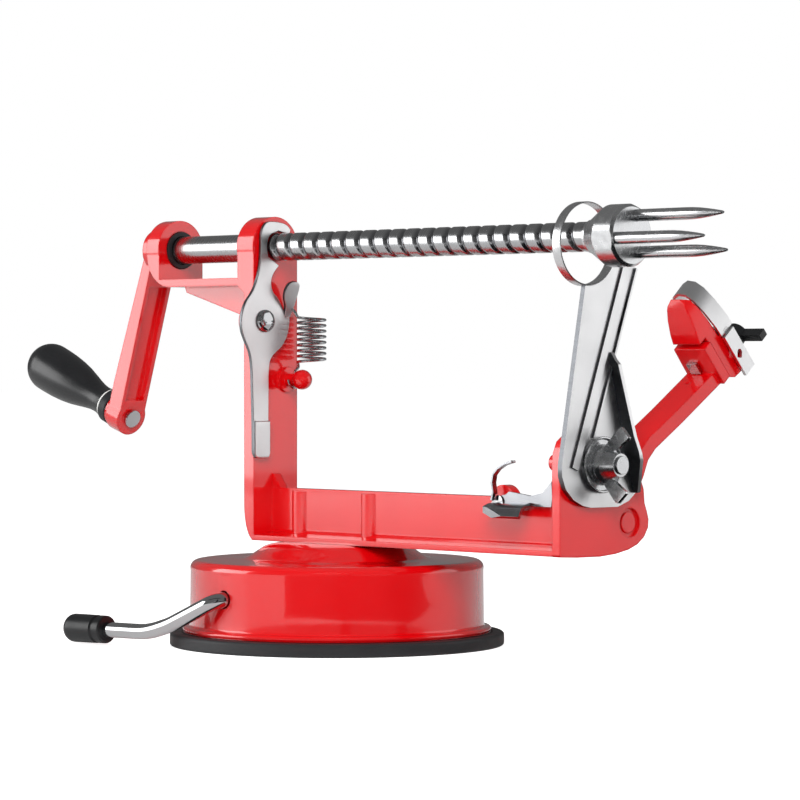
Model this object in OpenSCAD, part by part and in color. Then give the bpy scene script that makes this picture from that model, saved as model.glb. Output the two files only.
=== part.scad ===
// Hand-cranked apple peeler on a suction base. A red U-shaped casting stands on the base and carries
// a threaded shaft with a crank at one end and a three-pronged fork at the other, a slicing and
// coring blade that the shaft passes through, and a sprung arm with the peeling blade.
// X runs along the shaft towards the fork, Y away from the thumb latch's side, Z up.
// The origin is the centre of the suction pad on the table.

/* [Base] */
// Diameter of the rubber suction pad
pad_d = 100; // [96:1:130]
// Height of the pad's rim over the table
pad_rim_h = 4; // [3:0.5:6]
// Outer diameter of the cup over the pad
cup_d = 88; // [80:1:92]
// Height of the cup's flat top over the table
cup_top_h = 25.5; // [24:0.5:34]
// Wall of the cup
cup_wall = 2.6; // [1.5:0.1:3.5]
// Height of the conical neck over the cup
neck_h = 4.9; // [3:0.1:14]
// Diameter of the neck's foot
neck_d = 54; // [48:1:64]

/* [Suction lever] */
// Diameter of the bent lever rod
lever_rod_d = 4.6; // [3.6:0.1:5]
// Share of the cup's height at which the lever's axis lies
lever_axis_share = 0.6; // [0.56:0.01:0.64]
// Offset of the crank pin that lifts the suction stud
eccentric = 1.5; // [1:0.1:2]
// Diameter of the black cap on the lever's end
lever_cap_d = 8.4; // [7:0.1:9]
// Length of the black cap
lever_cap_l = 16; // [12:1:26]

/* [Frame casting] */
// Width of the casting across the shaft
frame_w = 18; // [16:0.2:26]
// Distance from the base's centre to the post's inner face
post_offset = 27.3; // [22:0.1:34]
// Space for the fruit between the post and the end plate
fruit_gap = 123.4; // [110:0.1:150]
// Thickness of the post
post_t = 4.3; // [3.5:0.1:7]
// Height of the beam
beam_h = 15.8; // [13:0.1:24]
// Thickness of the beam's upright web
web_t = 3; // [2:0.1:4.5]
// Thickness of the beam's bottom flange
flange_t = 1.6; // [1.2:0.1:3]
// Height of the shaft's axis over the beam's underside
shaft_rise = 88.9; // [82:0.1:110]
// Thickness of the end plate
plate_t = 3; // [2.4:0.1:4.5]
// Clear distance between the two shaft ears
ear_gap = 36.6; // [28:0.1:50]
// Thickness of the outer ear
ear_t = 5.8; // [4:0.1:9]
// Thickness of the post's upper end, which is the inner ear
post_head_t = 7.3; // [7:0.1:10]

/* [Shaft, crank and grip] */
// Diameter of the plain shaft
shaft_d = 8.5; // [7:0.1:9.5]
// Lead of the shaft's single thread
thread_pitch = 6.1; // [4:0.1:8]
// Depth of the thread
thread_depth = 0.6; // [0.4:0.1:0.9]
// Distance from the shaft's axis to the grip's axis along the crank
crank_l = 55.5; // [45:0.5:75]
// Lean of the crank away from the frame, in degrees
crank_lean = 18; // [10:1:24]
// Width of the crank arm
crank_w = 10.2; // [8:0.1:12]
// Thickness of the crank arm
crank_t = 5.9; // [4.5:0.1:8]
// Length of the pear-shaped grip
grip_l = 39.5; // [32:0.5:60]
// Largest diameter of the grip
grip_d = 15.8; // [14:0.1:22]

/* [Fork] */
// Diameter of the fork's hub
fork_d = 17.4; // [14:0.1:18]
// Length of the fork's cylindrical hub
fork_hub_l = 7; // [4:0.1:9]
// Free length of each prong
prong_l = 31; // [24:0.1:42]
// Diameter of each prong
prong_d = 3.4; // [3:0.1:4.2]
// Radius of the prongs' circle
prong_circle_r = 5.9; // [5:0.1:6]

/* [Slicing blade] */
// Outer diameter of the coring ring
ring_d = 23.5; // [23:0.1:26]
// Wall of the coring ring
ring_wall = 0.5; // [0.4:0.1:0.9]
// Length of the coring ring
ring_l = 3.2; // [2.4:0.1:5]
// Thickness of the blade plate
blade_t = 1.6; // [1:0.1:1.8]
// Height of the clamping bolt over the beam's underside
bolt_rise = 25.4; // [24:0.1:29]
// Diameter of the clamping bolt
bolt_d = 5; // [4:0.1:6]
// Radius of the wing nut's wings
wing_r = 10.6; // [8:0.1:12]

/* [Peeling arm] */
// Width of the arm along the shaft
arm_w = 10; // [8:0.1:12]
// Thickness of the arm
arm_t = 4.2; // [3.6:0.1:6]
// Sideways distance of the arm's pin from the shaft
arm_pin_y = 20.1; // [19:0.1:23]
// Height of the arm's pin over the beam's underside
arm_pin_rise = 8.6; // [8.2:0.1:10]
// Diameter of the arm's pin
arm_pin_d = 6; // [4:0.1:7]
// Width of the peeling blade's strip
peel_blade_w = 6; // [5:0.1:7]
// Thickness of the peeling blade's strip
peel_blade_t = 0.8; // [0.6:0.1:1.1]

/* [Thumb latch and spring] */
// Thickness of the latch plate
latch_t = 1.2; // [1.2:0.1:2]
// Height of the latch's rivet below the shaft's axis
latch_drop = 22.5; // [20:0.1:26]
// Mean diameter of the latch spring's coil
spring_d = 8.3; // [6:0.1:8.6]
// Diameter of the spring wire
wire_d = 0.8; // [0.6:0.1:1]
// Number of curls of the latch spring
spring_curls = 8; // [6:1:8]
// Pitch of the latch spring's curls
spring_pitch = 1.7; // [1.4:0.05:1.8]

/* [Hidden] */

// Facets of true round shapes
round_fn = 48;
// One overrun for every cut
cut = 1;
// Gap between faces that only rest near each other
gap = 0.3;
// Radial clearance of a running fit
fit = 0.05;
// Quarter and half turns in degrees
quarter = 90;
half = 180;
full = 360;

// Heights over the table
beam_z = cup_top_h + neck_h;
shaft_z = beam_z + shaft_rise;
beam_top_z = beam_z + beam_h;
// Faces along the shaft
post_x = -post_offset;
plate_x = post_x + fruit_gap;
plate_out_x = plate_x + plate_t;
inner_ear_x = post_x - post_head_t;
outer_ear_x = inner_ear_x - ear_gap;
ear_out_x = outer_ear_x - ear_t;
shaft_r = shaft_d / 2;
half_w = frame_w / 2;
post_out_x = post_x - post_t;

// A round bar from one X to another at a place across the shaft
module x_bar(x0, x1, r, y = 0, z = 0) {
  translate([x0, y, z]) rotate([0, quarter, 0]) cylinder(r = r, h = x1 - x0, $fn = round_fn);
}

// A flat shape drawn in Y and Z, given a thickness along X
module x_plate(x0, x1) {
  translate([x0, 0, 0]) rotate([quarter, 0, quarter]) linear_extrude(height = x1 - x0) children();
}

// A flat shape drawn in X and Z, given a thickness along Y
module y_plate(y0, y1) {
  translate([0, y1, 0]) rotate([quarter, 0, 0]) linear_extrude(height = y1 - y0) children();
}

// A round bar between two points
module rod(a, b, r) {
  d = b - a;
  l = norm(d);
  translate(a)
    rotate([0, acos(d[2] / l), atan2(d[1], d[0])])
      cylinder(r = r, h = l, $fn = round_fn);
}

// A triangle-faced tube swept along a path, with sides points round it and flat ends
function unit(v) = v / norm(v);
function ring_of(p, t, n, r, sides) = let (b = cross(t, n))
  [for (k = [0 : sides - 1]) p + r * (cos(full * k / sides) * n + sin(full * k / sides) * b)];
function tangent(path, i) = unit(path[min(i + 1, len(path) - 1)] - path[max(i - 1, 0)]);
function side_of(t, guide) = unit(guide - (guide * t) * t);
module tube(path, guides, r, sides) {
  n = len(path);
  points = [for (i = [0 : n - 1])
    let (t = tangent(path, i)) each ring_of(path[i], t, side_of(t, guides[i]), r, sides)];
  walls = [for (i = [0 : n - 2], k = [0 : sides - 1])
    let (a = i * sides + k, b = i * sides + (k + 1) % sides)
    each [[a, a + sides, b], [b, a + sides, b + sides]]];
  first_cap = [for (k = [1 : sides - 2]) [0, k, k + 1]];
  last = (n - 1) * sides;
  last_cap = [for (k = [1 : sides - 2]) [last, last + k + 1, last + k]];
  polyhedron(points = points, faces = concat(walls, first_cap, last_cap), convexity = 10);
}

// Suction base

pad_disc_t = 2.6;
stud_foot_d = 15;
stud_foot_t = 2;
stud_d = 10;
pad_boss_d = 22;
pad_boss_h = 7;
pad_edge_r = 0.8;

// Rubber pad: a thin disc with a thicker rim under the cup and a boss that holds the stud's foot
module suction_pad() {
  color("#2b2c2e")
    difference() {
      union() {
        cylinder(d = pad_d, h = pad_rim_h - pad_edge_r, $fn = 96);
        cylinder(d = pad_d - 2 * pad_edge_r, h = pad_rim_h, $fn = 96);
        translate([lever_x, 0, 0]) cylinder(d = pad_boss_d, h = pad_boss_h, $fn = round_fn);
      }
      difference() {
        translate([0, 0, pad_disc_t])
          cylinder(d = cup_d - 4 * cup_wall, h = pad_boss_h, $fn = 96);
        translate([lever_x, 0, 0]) cylinder(d = pad_boss_d, h = 2 * pad_boss_h, $fn = round_fn);
      }
      translate([lever_x, 0, pad_disc_t])
        cylinder(d = stud_foot_d + 2 * gap, h = stud_foot_t + gap, $fn = round_fn);
      translate([lever_x, 0, pad_disc_t]) cylinder(d = stud_d + 2 * gap, h = pad_boss_h, $fn = round_fn);
    }
}

cup_r = cup_d / 2;
cup_edge_r = 2.4;
cup_flare = 2.2;
cup_flare_h = 1.6;
neck_r = neck_d / 2;
neck_top_r = 18;
neck_shoulder_r = 21;
neck_shoulder_h = 1;
lever_x = -1.6;
lever_bore_r = lever_rod_d / 2 + gap;
screw_spread = 30;
screw_r = 1.6;
screw_head_r = 3;
screw_head_h = 2.2;
journal_boss_r = 5;
journal_boss_l = 4;
stud_guide_wall = 2.2;
stud_guide_r = stud_d / 2 + stud_guide_wall;
lever_axis_h = cup_top_h * lever_axis_share;
cheek_t = 2;
cheek_r = (lever_rod_d + cheek_t) / 2 + eccentric;
// The stud's guide ends a running gap over the cheeks of the lever's crank
stud_guide_h = cup_top_h - cup_wall - lever_axis_h - cheek_r - gap;
guide_clear = 0.4;

function arc(cx, cy, r, a0, a1, steps = 8) =
  [for (i = [0 : steps]) let (a = a0 + (a1 - a0) * i / steps) [cx + r * cos(a), cy + r * sin(a)]];

// Outline of the cup's wall, turned about Z: outside with its rounded shoulder and neck, then inside
function cup_outline() = concat(
  [[cup_r + cup_flare, pad_rim_h], [cup_r + cup_flare, pad_rim_h + cup_flare_h / 2],
   [cup_r, pad_rim_h + cup_flare_h]],
  arc(cup_r - cup_edge_r, cup_top_h - cup_edge_r, cup_edge_r, 0, quarter),
  [[neck_r, cup_top_h], [neck_shoulder_r, beam_z - neck_shoulder_h], [neck_top_r, beam_z],
   [0, beam_z], [0, cup_top_h - cup_wall], [cup_r - cup_wall - cup_edge_r, cup_top_h - cup_wall],
   [cup_r - cup_wall, cup_top_h - cup_wall - cup_edge_r], [cup_r - cup_wall, pad_rim_h]]);

// Red cup with the neck that carries the frame, bored for the lever at front and back
module base_cup() {
  color("#d3141c")
    difference() {
      union() {
        rotate_extrude($fn = 96) polygon(cup_outline());
        translate([lever_x, 0, cup_top_h - cup_wall - stud_guide_h])
          cylinder(r = stud_guide_r, h = stud_guide_h + cut, $fn = round_fn);
        intersection() {
          translate([lever_x, cup_r, lever_axis_h]) rotate([quarter, 0, 0])
            cylinder(r = journal_boss_r, h = journal_boss_l + cup_wall, $fn = round_fn);
          cylinder(r = cup_r - cup_wall / 2, h = cup_top_h, $fn = 96);
        }
      }
      translate([lever_x, 0, lever_axis_h]) rotate([quarter, 0, 0])
        cylinder(r = lever_bore_r, h = cup_r + cut, $fn = round_fn);
      translate([lever_x, cup_r - cup_wall / 2, lever_axis_h]) rotate([quarter, 0, 0])
        cylinder(r = lever_rod_d / 2 + fit, h = cup_r, $fn = round_fn);
      translate([lever_x, 0, cup_top_h - cup_wall - stud_guide_h - cut])
        cylinder(d = stud_d + 2 * guide_clear, h = stud_guide_h + cut, $fn = round_fn);
      for (side = [-1, 1])
        translate([side * screw_spread / 2, 0, cup_top_h - cup_wall - cut])
          cylinder(r = screw_r + fit, h = neck_h + cup_wall + 2 * cut, $fn = round_fn);
    }
}

screw_reach = 9;

// Two pan-head screws from inside the cup into the beam's bosses
module base_screws() {
  head_z = cup_top_h - cup_wall - screw_head_h;
  color("silver")
    for (side = [-1, 1])
      translate([side * screw_spread / 2, 0, head_z])
        difference() {
          union() {
            cylinder(r = screw_head_r, h = screw_head_h, $fn = round_fn);
            cylinder(r = screw_r, h = screw_head_h + cup_wall + neck_h + screw_reach, $fn = round_fn);
          }
          for (a = [0, quarter])
            rotate([0, 0, a])
              translate([-screw_head_r / 2, -screw_r / 4, -cut])
                cube([screw_head_r, screw_r / 2, cut + screw_head_h / 2]);
        }
}

// Suction lever

lever_r = lever_rod_d / 2;
elbow_reach = 2.8;
elbow_y = -(cup_r + elbow_reach);
cheek_gap = 1.2;
pin_half = stud_d / 2 + cheek_gap;
journal_end_y = cup_r - cup_wall;
// Bends of the rod outside the cup, from the elbow down to the cap, beside the lever's axis
cap_rise = 0.5;
lever_drop = lever_axis_h - lever_cap_d / 2 - cap_rise;
lever_bend = [-17.2, -3, 2.6 - lever_drop];
lever_low = [-25, -4.4, 0.2 - lever_drop];
lever_end = [-53.8, -7.2, -lever_drop];
lever_elbow = [lever_x, elbow_y, lever_axis_h];
crank_pin_z = lever_axis_h - eccentric;

// Bent rod: outer arm, journal in the cup, offset crank pin through the stud, far journal
module suction_lever() {
  bend = lever_elbow + lever_bend;
  low = lever_elbow + lever_low;
  end = lever_elbow + lever_end;
  pin_r = lever_r - eccentric / 2;
  color("silver") {
    rod(lever_elbow, [lever_x, -pin_half, lever_axis_h], lever_r);
    translate(lever_elbow) sphere(r = lever_r + fit, $fn = round_fn);
    rod(lever_elbow, bend, lever_r);
    translate(bend) sphere(r = lever_r + fit, $fn = round_fn);
    rod(bend, low, lever_r);
    translate(low) sphere(r = lever_r + fit, $fn = round_fn);
    rod(low, end, lever_r);
    rod([lever_x, -pin_half, crank_pin_z], [lever_x, pin_half, crank_pin_z], pin_r);
    for (y0 = [-pin_half, pin_half + cheek_t])
      translate([lever_x, y0, lever_axis_h]) rotate([quarter, 0, 0])
        cylinder(r = cheek_r, h = cheek_t, $fn = round_fn);
    rod([lever_x, pin_half, lever_axis_h], [lever_x, journal_end_y, lever_axis_h], lever_r);
  }
}

cap_cover = lever_cap_l - lever_cap_d / 2;

// Black plastic cap pushed on the lever's end
module lever_cap() {
  end = lever_elbow + lever_end;
  low = lever_elbow + lever_low;
  along = unit(end - low);
  cap_r = lever_cap_d / 2;
  color("#1d1e20")
    translate(end - cap_cover * along)
      rotate([0, acos(along[2]), atan2(along[1], along[0])])
        rotate_extrude($fn = round_fn)
          polygon(concat([[lever_r, 0], [cap_r, 0]], arc(0, cap_cover, cap_r, 0, quarter),
            [[0, cap_cover + fit], [lever_r, cap_cover + fit]]));
}

clip_t = 1;
clip_reach = 2;
clip_inset = 2.4;
clip_groove_y = -(cup_r - cup_wall - clip_inset);

// Retaining clip on the journal inside the cup
module lever_clip() {
  color("dimgray")
    translate([lever_x, clip_groove_y, lever_axis_h]) rotate([quarter, 0, 0])
      difference() {
        cylinder(r = lever_r + clip_reach, h = clip_t, $fn = round_fn);
        translate([0, 0, -cut]) cylinder(r = lever_r, h = clip_t + 2 * cut, $fn = round_fn);
        translate([-lever_r / 2, 0, -cut]) cube([lever_r, 2 * lever_r + cut, clip_t + 2 * cut]);
      }
}

slot_play = 0.5;

// Steel stud moulded in the pad, with a slot that the lever's crank pin lifts
module suction_stud() {
  pin_r = lever_r - eccentric / 2;
  slot_w = 2 * (pin_r + eccentric + gap);
  slot_h = 2 * (pin_r + slot_play);
  top_z = cup_top_h - cup_wall - 2 * eccentric - gap;
  color("gray")
    translate([lever_x, 0, 0])
      difference() {
        union() {
          translate([0, 0, pad_disc_t + gap / 2])
            cylinder(d = stud_foot_d, h = stud_foot_t, $fn = round_fn);
          translate([0, 0, pad_disc_t + gap / 2])
            cylinder(d = stud_d, h = top_z - pad_disc_t - gap / 2, $fn = round_fn);
        }
        translate([-slot_w / 2, -stud_d, crank_pin_z - slot_h / 2]) cube([slot_w, 2 * stud_d, slot_h]);
      }
}

// Frame casting

corner_rise = 11;
web_root_t = 0.6;
web_root_r = 1.8;
boss_r = 3.3;
boss_drop = 0.8;
bracket_drop = 9.3;
bracket_t = 2.4;
bracket_corner_r = 10.4;
gusset_start = 8.8;
gusset_outer_drop = 2.8;
gusset_root_drop = 13;
bush_r = 5.8;
ear_r = half_w + 0.3;
lug_r = 4.8;
lug_sink_share = 0.3;
catch_x = 70;
catch_pin_r = 1.6;
// Profile of the end plate in Y and in height over the beam's underside
end_plate_shape = [[-9, 0.4], [-8.4, -0.1], [-2, -0.4], [7.5, -0.5], [14, 0], [19.5, 1], [23.4, 2.4],
  [26.2, 4.4], [27.9, 7], [28.1, 9.4], [27.4, 11.6], [26.4, 14], [26, 18], [22, 27], [16, 32.6],
  [9, 34.4], [-4, 34.2], [-7.2, 32], [-8.7, 28.8], [-9, 26]];
arm_pin_z = beam_z + arm_pin_rise;
arm_pin_r = arm_pin_d / 2;
recess_ring = 1.2;
pin_recess_r = arm_pin_r + recess_ring;
pin_recess = 1;
bolt_y = 5.5;
bolt_z = beam_z + bolt_rise;
bolt_r = bolt_d / 2;
bolt_boss_r = 6;
bolt_boss_t = 2.6;
stop_lug_r = 2.3;
stop_lug_t = 3;
stop_lug_y = -4.9;
stop_lug_rise = 0.6;
latch_y = -5.6;
latch_z = shaft_z - latch_drop;
latch_rivet_r = 2.2;
latch_boss_r = 5.6;
peg_y = 4.7;
peg_drop = 40.3;
peg_z = shaft_z - peg_drop;
peg_r = 1.9;
peg_ball_r = 3.05;
peg_ring_r = 3.9;
peg_ring_t = 0.9;
peg_l = 6.9;

function beam_section() = [
  [-half_w, 0], [half_w, 0], [half_w, flange_t], [web_t / 2 + web_root_r, flange_t + web_root_t],
  [web_t / 2, flange_t + web_root_t + web_root_r / 2], [web_t / 2, beam_h], [-web_t / 2, beam_h],
  [-web_t / 2, flange_t + web_root_t + web_root_r / 2],
  [-web_t / 2 - web_root_r, flange_t + web_root_t], [-half_w, flange_t]];

// Outline in X and Z of the flange, the post and the bracket that carries the outer ear
function post_outline() = concat(
  [for (i = [0 : 8]) let (a = quarter * i / 8)
    [post_out_x + post_t * (1 - cos(a)), beam_z + corner_rise * (1 - sin(a))]],
  [[post_x, beam_z], [post_x, shaft_z], [inner_ear_x, shaft_z],
   [inner_ear_x, shaft_z - bracket_drop - bracket_t], [post_out_x, shaft_z - bracket_drop - 2 * bracket_t]]);
function bracket_outline() = concat(
  [[inner_ear_x + cut, shaft_z - bracket_drop], [outer_ear_x, shaft_z - bracket_drop],
   [outer_ear_x, shaft_z], [ear_out_x, shaft_z]],
  [for (i = [0 : 6]) let (a = quarter * i / 6)
    [ear_out_x + bracket_corner_r * (1 - cos(a)),
     shaft_z - bracket_drop - bracket_t + bracket_corner_r * (1 - sin(a))]],
  [[inner_ear_x + cut, shaft_z - bracket_drop - bracket_t]]);

// Beam with flange and web, post, ears, end plate, and the bosses for screws, catch and rivets
module frame_casting() {
  gusset_top = shaft_z - bracket_drop - bracket_t / 2;
  color("#d3141c")
    difference() {
      union() {
        translate([0, 0, beam_z]) x_plate(post_x - cut, plate_x) polygon(beam_section());
        y_plate(-half_w, half_w) polygon(post_outline());
        y_plate(-half_w, half_w) polygon(bracket_outline());
        x_bar(inner_ear_x, post_x, ear_r, 0, shaft_z);
        x_bar(ear_out_x, outer_ear_x, ear_r, 0, shaft_z);
        y_plate(-web_t / 2, web_t / 2)
          polygon([[ear_out_x + gusset_start, gusset_top], [post_out_x + cut, gusset_top],
                   [post_out_x + cut, gusset_top - gusset_root_drop],
                   [ear_out_x + gusset_start + gusset_outer_drop / 2, gusset_top - gusset_outer_drop]]);
        translate([0, 0, beam_z]) x_plate(plate_x, plate_out_x) polygon(end_plate_shape);
        x_bar(plate_x - bolt_boss_t, plate_x + cut, bolt_boss_r, bolt_y, bolt_z);
        x_bar(plate_x - stop_lug_t, plate_x + cut, stop_lug_r, stop_lug_y, bolt_z + stop_lug_rise);
        for (side = [-1, 1])
          translate([side * screw_spread / 2, 0, beam_z])
            cylinder(r = boss_r, h = beam_h - boss_drop, $fn = round_fn);
        translate([catch_x, web_t / 2, catch_z]) rotate([quarter, 0, 0])
          cylinder(r = lug_r, h = web_t, $fn = round_fn);
        x_bar(post_out_x, post_x, latch_boss_r, latch_y, latch_z);
        x_bar(post_x - cut, post_x + peg_ring_t, peg_ring_r, peg_y, peg_z);
        x_bar(post_x, post_x + peg_l, peg_r, peg_y, peg_z);
        translate([post_x + peg_l, peg_y, peg_z]) sphere(r = peg_ball_r, $fn = round_fn);
      }
      x_bar(inner_ear_x - cut, post_x + cut, shaft_r + fit, 0, shaft_z);
      x_bar(ear_out_x - cut, outer_ear_x + cut, bush_r + fit, 0, shaft_z);
      x_bar(plate_x - bolt_boss_t - cut, plate_out_x + cut, bolt_r, bolt_y, bolt_z);
      x_bar(plate_x - cut, plate_out_x + cut, arm_pin_r, arm_pin_y, arm_pin_z);
      x_bar(plate_out_x - pin_recess, plate_out_x + cut, pin_recess_r, arm_pin_y, arm_pin_z);
      x_bar(post_out_x - cut, post_x + cut, latch_rivet_r, latch_y, latch_z);
      translate([catch_x, half_w, catch_z]) rotate([quarter, 0, 0])
        cylinder(r = catch_pin_r, h = frame_w, $fn = round_fn);
      for (side = [-1, 1])
        translate([side * screw_spread / 2, 0, beam_z - cut])
          cylinder(r = screw_r, h = screw_reach + cut + gap, $fn = round_fn);
    }
}

bush_lip_t = 0.8;

// Dark bush that lines the outer ear
module outer_bush() {
  color("#3a3b3d")
    difference() {
      x_bar(ear_out_x, outer_ear_x + bush_lip_t, bush_r, 0, shaft_z);
      x_bar(ear_out_x - cut, outer_ear_x + bush_lip_t + cut, shaft_r + fit, 0, shaft_z);
    }
}

// Shaft, crank and grip

crank_root = 1.3;
crank_gap = 0.4;
hub_r = 6.8;
hub_l = 4.4;
crank_top_share = 0.62;
thread_start = 1.9;
plain_end_x = inner_ear_x + thread_start;
fork_stand_off = 4;
fork_x = plate_out_x + fork_stand_off;
spigot_r = 3.4;
spigot_l = 9;
thread_points = 12;
thread_steps = 8;
dent_half = 50;
crest_r = shaft_r - fit;

function dent(a) = abs(a) < dent_half ? (1 + cos(half * a / dent_half)) / 2 : 0;
function thread_profile() = [for (k = [0 : thread_points - 1])
  let (a = k < 5 ? (k - 2) * dent_half / 2 : dent_half + (k - 4) * (full - 2 * dent_half) / (thread_points - 4),
       r = crest_r - thread_depth * dent(a))
  [r * cos(a), r * sin(a)]];

// Steel shaft: a plain length through the ears, a single-start thread up to the fork
module drive_shaft() {
  thread_l = fork_x - plain_end_x;
  turns = thread_l / thread_pitch;
  color("silver") {
    x_bar(ear_out_x - crank_gap - hub_l, plain_end_x, shaft_r, 0, shaft_z);
    translate([plain_end_x, 0, shaft_z]) rotate([0, quarter, 0])
      linear_extrude(height = thread_l, twist = -full * turns, slices = round(turns * thread_steps))
        polygon(thread_profile());
    x_bar(fork_x, fork_x + spigot_l, spigot_r, 0, shaft_z);
  }
}

crank_end_r = 5.7;
crank_boss_t = 1.2;
channel_share = 0.72;
channel_depth = 2;
channel_top_drop = 12;
grip_rise = 3.5;
grip_bolt_r = 2.4;
rivet_head_r = 2.9;
rivet_head_t = 1.2;

// Moves a shape drawn round the crank's inner face at the shaft to its leaning place
module crank_place() {
  translate([ear_out_x - crank_root, 0, shaft_z]) rotate([0, crank_lean, 0]) children();
}

// Moves a shape drawn round the rivet's centre on the arm's inner face to the grip's place
module grip_place() {
  crank_place() translate([0, 0, -crank_l]) rotate([0, grip_rise, 0]) children();
}

// Red crank: a hub on the shaft and a leaning arm with a channel in its inner face
module crank_arm() {
  hub_x = ear_out_x - crank_gap;
  color("#d3141c")
    difference() {
      union() {
        x_bar(hub_x - hub_l, hub_x, hub_r, 0, shaft_z);
        intersection() {
          crank_place()
            x_plate(-crank_t, 0) {
              translate([-crank_w / 2, -crank_l]) square([crank_w, crank_l]);
              circle(r = hub_r - gap, $fn = round_fn);
              translate([0, -crank_l]) circle(r = crank_end_r, $fn = round_fn);
            }
          crank_place()
            y_plate(-crank_l, crank_l)
              polygon([[0, crank_w], [-crank_t * crank_top_share, crank_w], [-crank_t * crank_top_share, 0],
                       [-crank_t, -crank_l + crank_w], [-crank_t, -crank_l - crank_w], [0, -crank_l - crank_w]]);
          translate([hub_x - 2 * crank_l, -crank_l, 0]) cube([2 * crank_l, 2 * crank_l, 2 * shaft_z]);
        }
        grip_place() x_bar(-crank_t - crank_boss_t, -crank_t / 2, crank_end_r - gap, 0, 0);
      }
      x_bar(hub_x - hub_l - cut, hub_x + cut, shaft_r, 0, shaft_z);
      crank_place()
        x_plate(-channel_depth, cut)
          polygon([[-crank_w * channel_share / 2, -channel_top_drop],
                   [crank_w * channel_share / 2, -channel_top_drop],
                   [crank_w * channel_share / 2, -crank_l + crank_end_r],
                   [-crank_w * channel_share / 2, -crank_l + crank_end_r]]);
      grip_place() x_bar(-crank_t - crank_boss_t - cut, cut, grip_bolt_r, 0, 0);
    }
}

ferrule_gap = 0.3;
ferrule_l = 3.4;
ferrule_r = 5.6;
white_ring_l = 0.9;
white_ring_r = 5.1;
grip_neck_r = 4.9;
waist_r = 4.5;
bolt_tip_r = 3.6;
bolt_tip_t = 1.4;
grip_end_play = 0.6;
bore_rest = 7;
ferrule_x = -(crank_t + crank_boss_t + ferrule_gap);
ring_x = ferrule_x - ferrule_l;
grip_x = ring_x - white_ring_l;

// Grip's rivet: a peened head on the arm's inner face, a spindle through the grip, a wide tip
module grip_bolt() {
  tip_x = grip_x - grip_l + bore_rest;
  color("silver")
    grip_place() {
      x_bar(0, rivet_head_t, rivet_head_r, 0, 0);
      x_bar(tip_x, rivet_head_t / 2, grip_bolt_r, 0, 0);
      x_bar(tip_x - bolt_tip_t, tip_x, bolt_tip_r, 0, 0);
    }
}

// Half outline of the grip: radius against distance from its neck
function grip_outline() =
  let (r = grip_d / 2, e = grip_l - r, n = grip_neck_r)
  concat([[0, 0], [n, 0], [waist_r, e * 0.08], [waist_r, e * 0.14], [n + (r - n) * 0.06, e * 0.24],
          [n + (r - n) * 0.36, e * 0.4], [n + (r - n) * 0.7, e * 0.6], [n + (r - n) * 0.93, e * 0.82]],
    [for (i = [0 : 9]) let (a = quarter * i / 9) [r * cos(a), e + r * sin(a)]]);

// Black pear-shaped grip, hollow for the spindle and its wide tip
module handle_grip() {
  tip_x = grip_x - grip_l + bore_rest;
  color("#17181a")
    grip_place()
      difference() {
        translate([grip_x, 0, 0]) rotate([0, -quarter, 0])
          rotate_extrude($fn = 64) polygon(grip_outline());
        x_bar(tip_x - bolt_tip_t, grip_x + cut, grip_bolt_r + fit, 0, 0);
        x_bar(tip_x - bolt_tip_t - grip_end_play, tip_x + grip_end_play, bolt_tip_r + gap, 0, 0);
      }
}

// Dark collar between the crank and the grip
module grip_ferrule() {
  color("#2a2b2d")
    grip_place()
      difference() {
        x_bar(ferrule_x - ferrule_l, ferrule_x, ferrule_r, 0, 0);
        x_bar(ferrule_x - ferrule_l - cut, ferrule_x + cut, grip_bolt_r + fit, 0, 0);
      }
}

// Pale ring at the grip's neck
module grip_ring() {
  color("white")
    grip_place()
      difference() {
        x_bar(ring_x - white_ring_l, ring_x, white_ring_r, 0, 0);
        x_bar(ring_x - white_ring_l - cut, ring_x + cut, grip_bolt_r + fit, 0, 0);
      }
}

// Fork

fork_r = fork_d / 2;
fork_neck_r = 4.7;
flare_start = 0.8;
flare_l = 6.9;
face_chamfer = 0.8;
flat_r = 8.3;
prong_turn = 9;
prong_seat = 9;
prong_point_share = 0.36;
prong_tip_r = 0.45;
fork_face_x = fork_x + flare_start + flare_l + fork_hub_l;

// Hub of the fork, flared and fluted beside the prongs
module fork_hub() {
  flare_x = fork_x + flare_start + flare_l;
  color("silver")
    difference() {
      translate([0, 0, shaft_z]) rotate([0, quarter, 0])
        rotate_extrude($fn = round_fn)
          polygon([[0, fork_x], [fork_neck_r, fork_x], [fork_neck_r, fork_x + flare_start],
                   [fork_r, flare_x], [fork_r, fork_face_x - face_chamfer],
                   [fork_r - face_chamfer, fork_face_x], [0, fork_face_x]]);
      x_bar(fork_x - cut, fork_x + spigot_l, spigot_r, 0, shaft_z);
      for (k = [0 : 2])
        translate([0, 0, shaft_z]) rotate([half + prong_turn + k * full / 3, 0, 0]) {
          translate([fork_x, flat_r, -fork_r]) cube([2 * prong_seat, fork_r, fork_d]);
          x_bar(fork_face_x - prong_seat, fork_face_x + cut, prong_d / 2, prong_circle_r, 0);
        }
    }
}

// Three pointed steel prongs pressed into the hub
module fork_prongs() {
  point_l = prong_l * prong_point_share;
  color("silver")
    for (k = [0 : 2])
      translate([0, 0, shaft_z]) rotate([half + prong_turn + k * full / 3, 0, 0])
        translate([fork_face_x - prong_seat, prong_circle_r, 0]) rotate([0, quarter, 0]) {
          cylinder(d = prong_d, h = prong_seat + prong_l - point_l, $fn = round_fn);
          translate([0, 0, prong_seat + prong_l - point_l])
            cylinder(r1 = prong_d / 2, r2 = prong_tip_r, h = point_l, $fn = round_fn);
        }
}

// Thumb latch

latch_x0 = post_x + gap;
latch_x1 = latch_x0 + latch_t;
latch_disc_r = 9.8;
latch_disc_y = -5.3;
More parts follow.
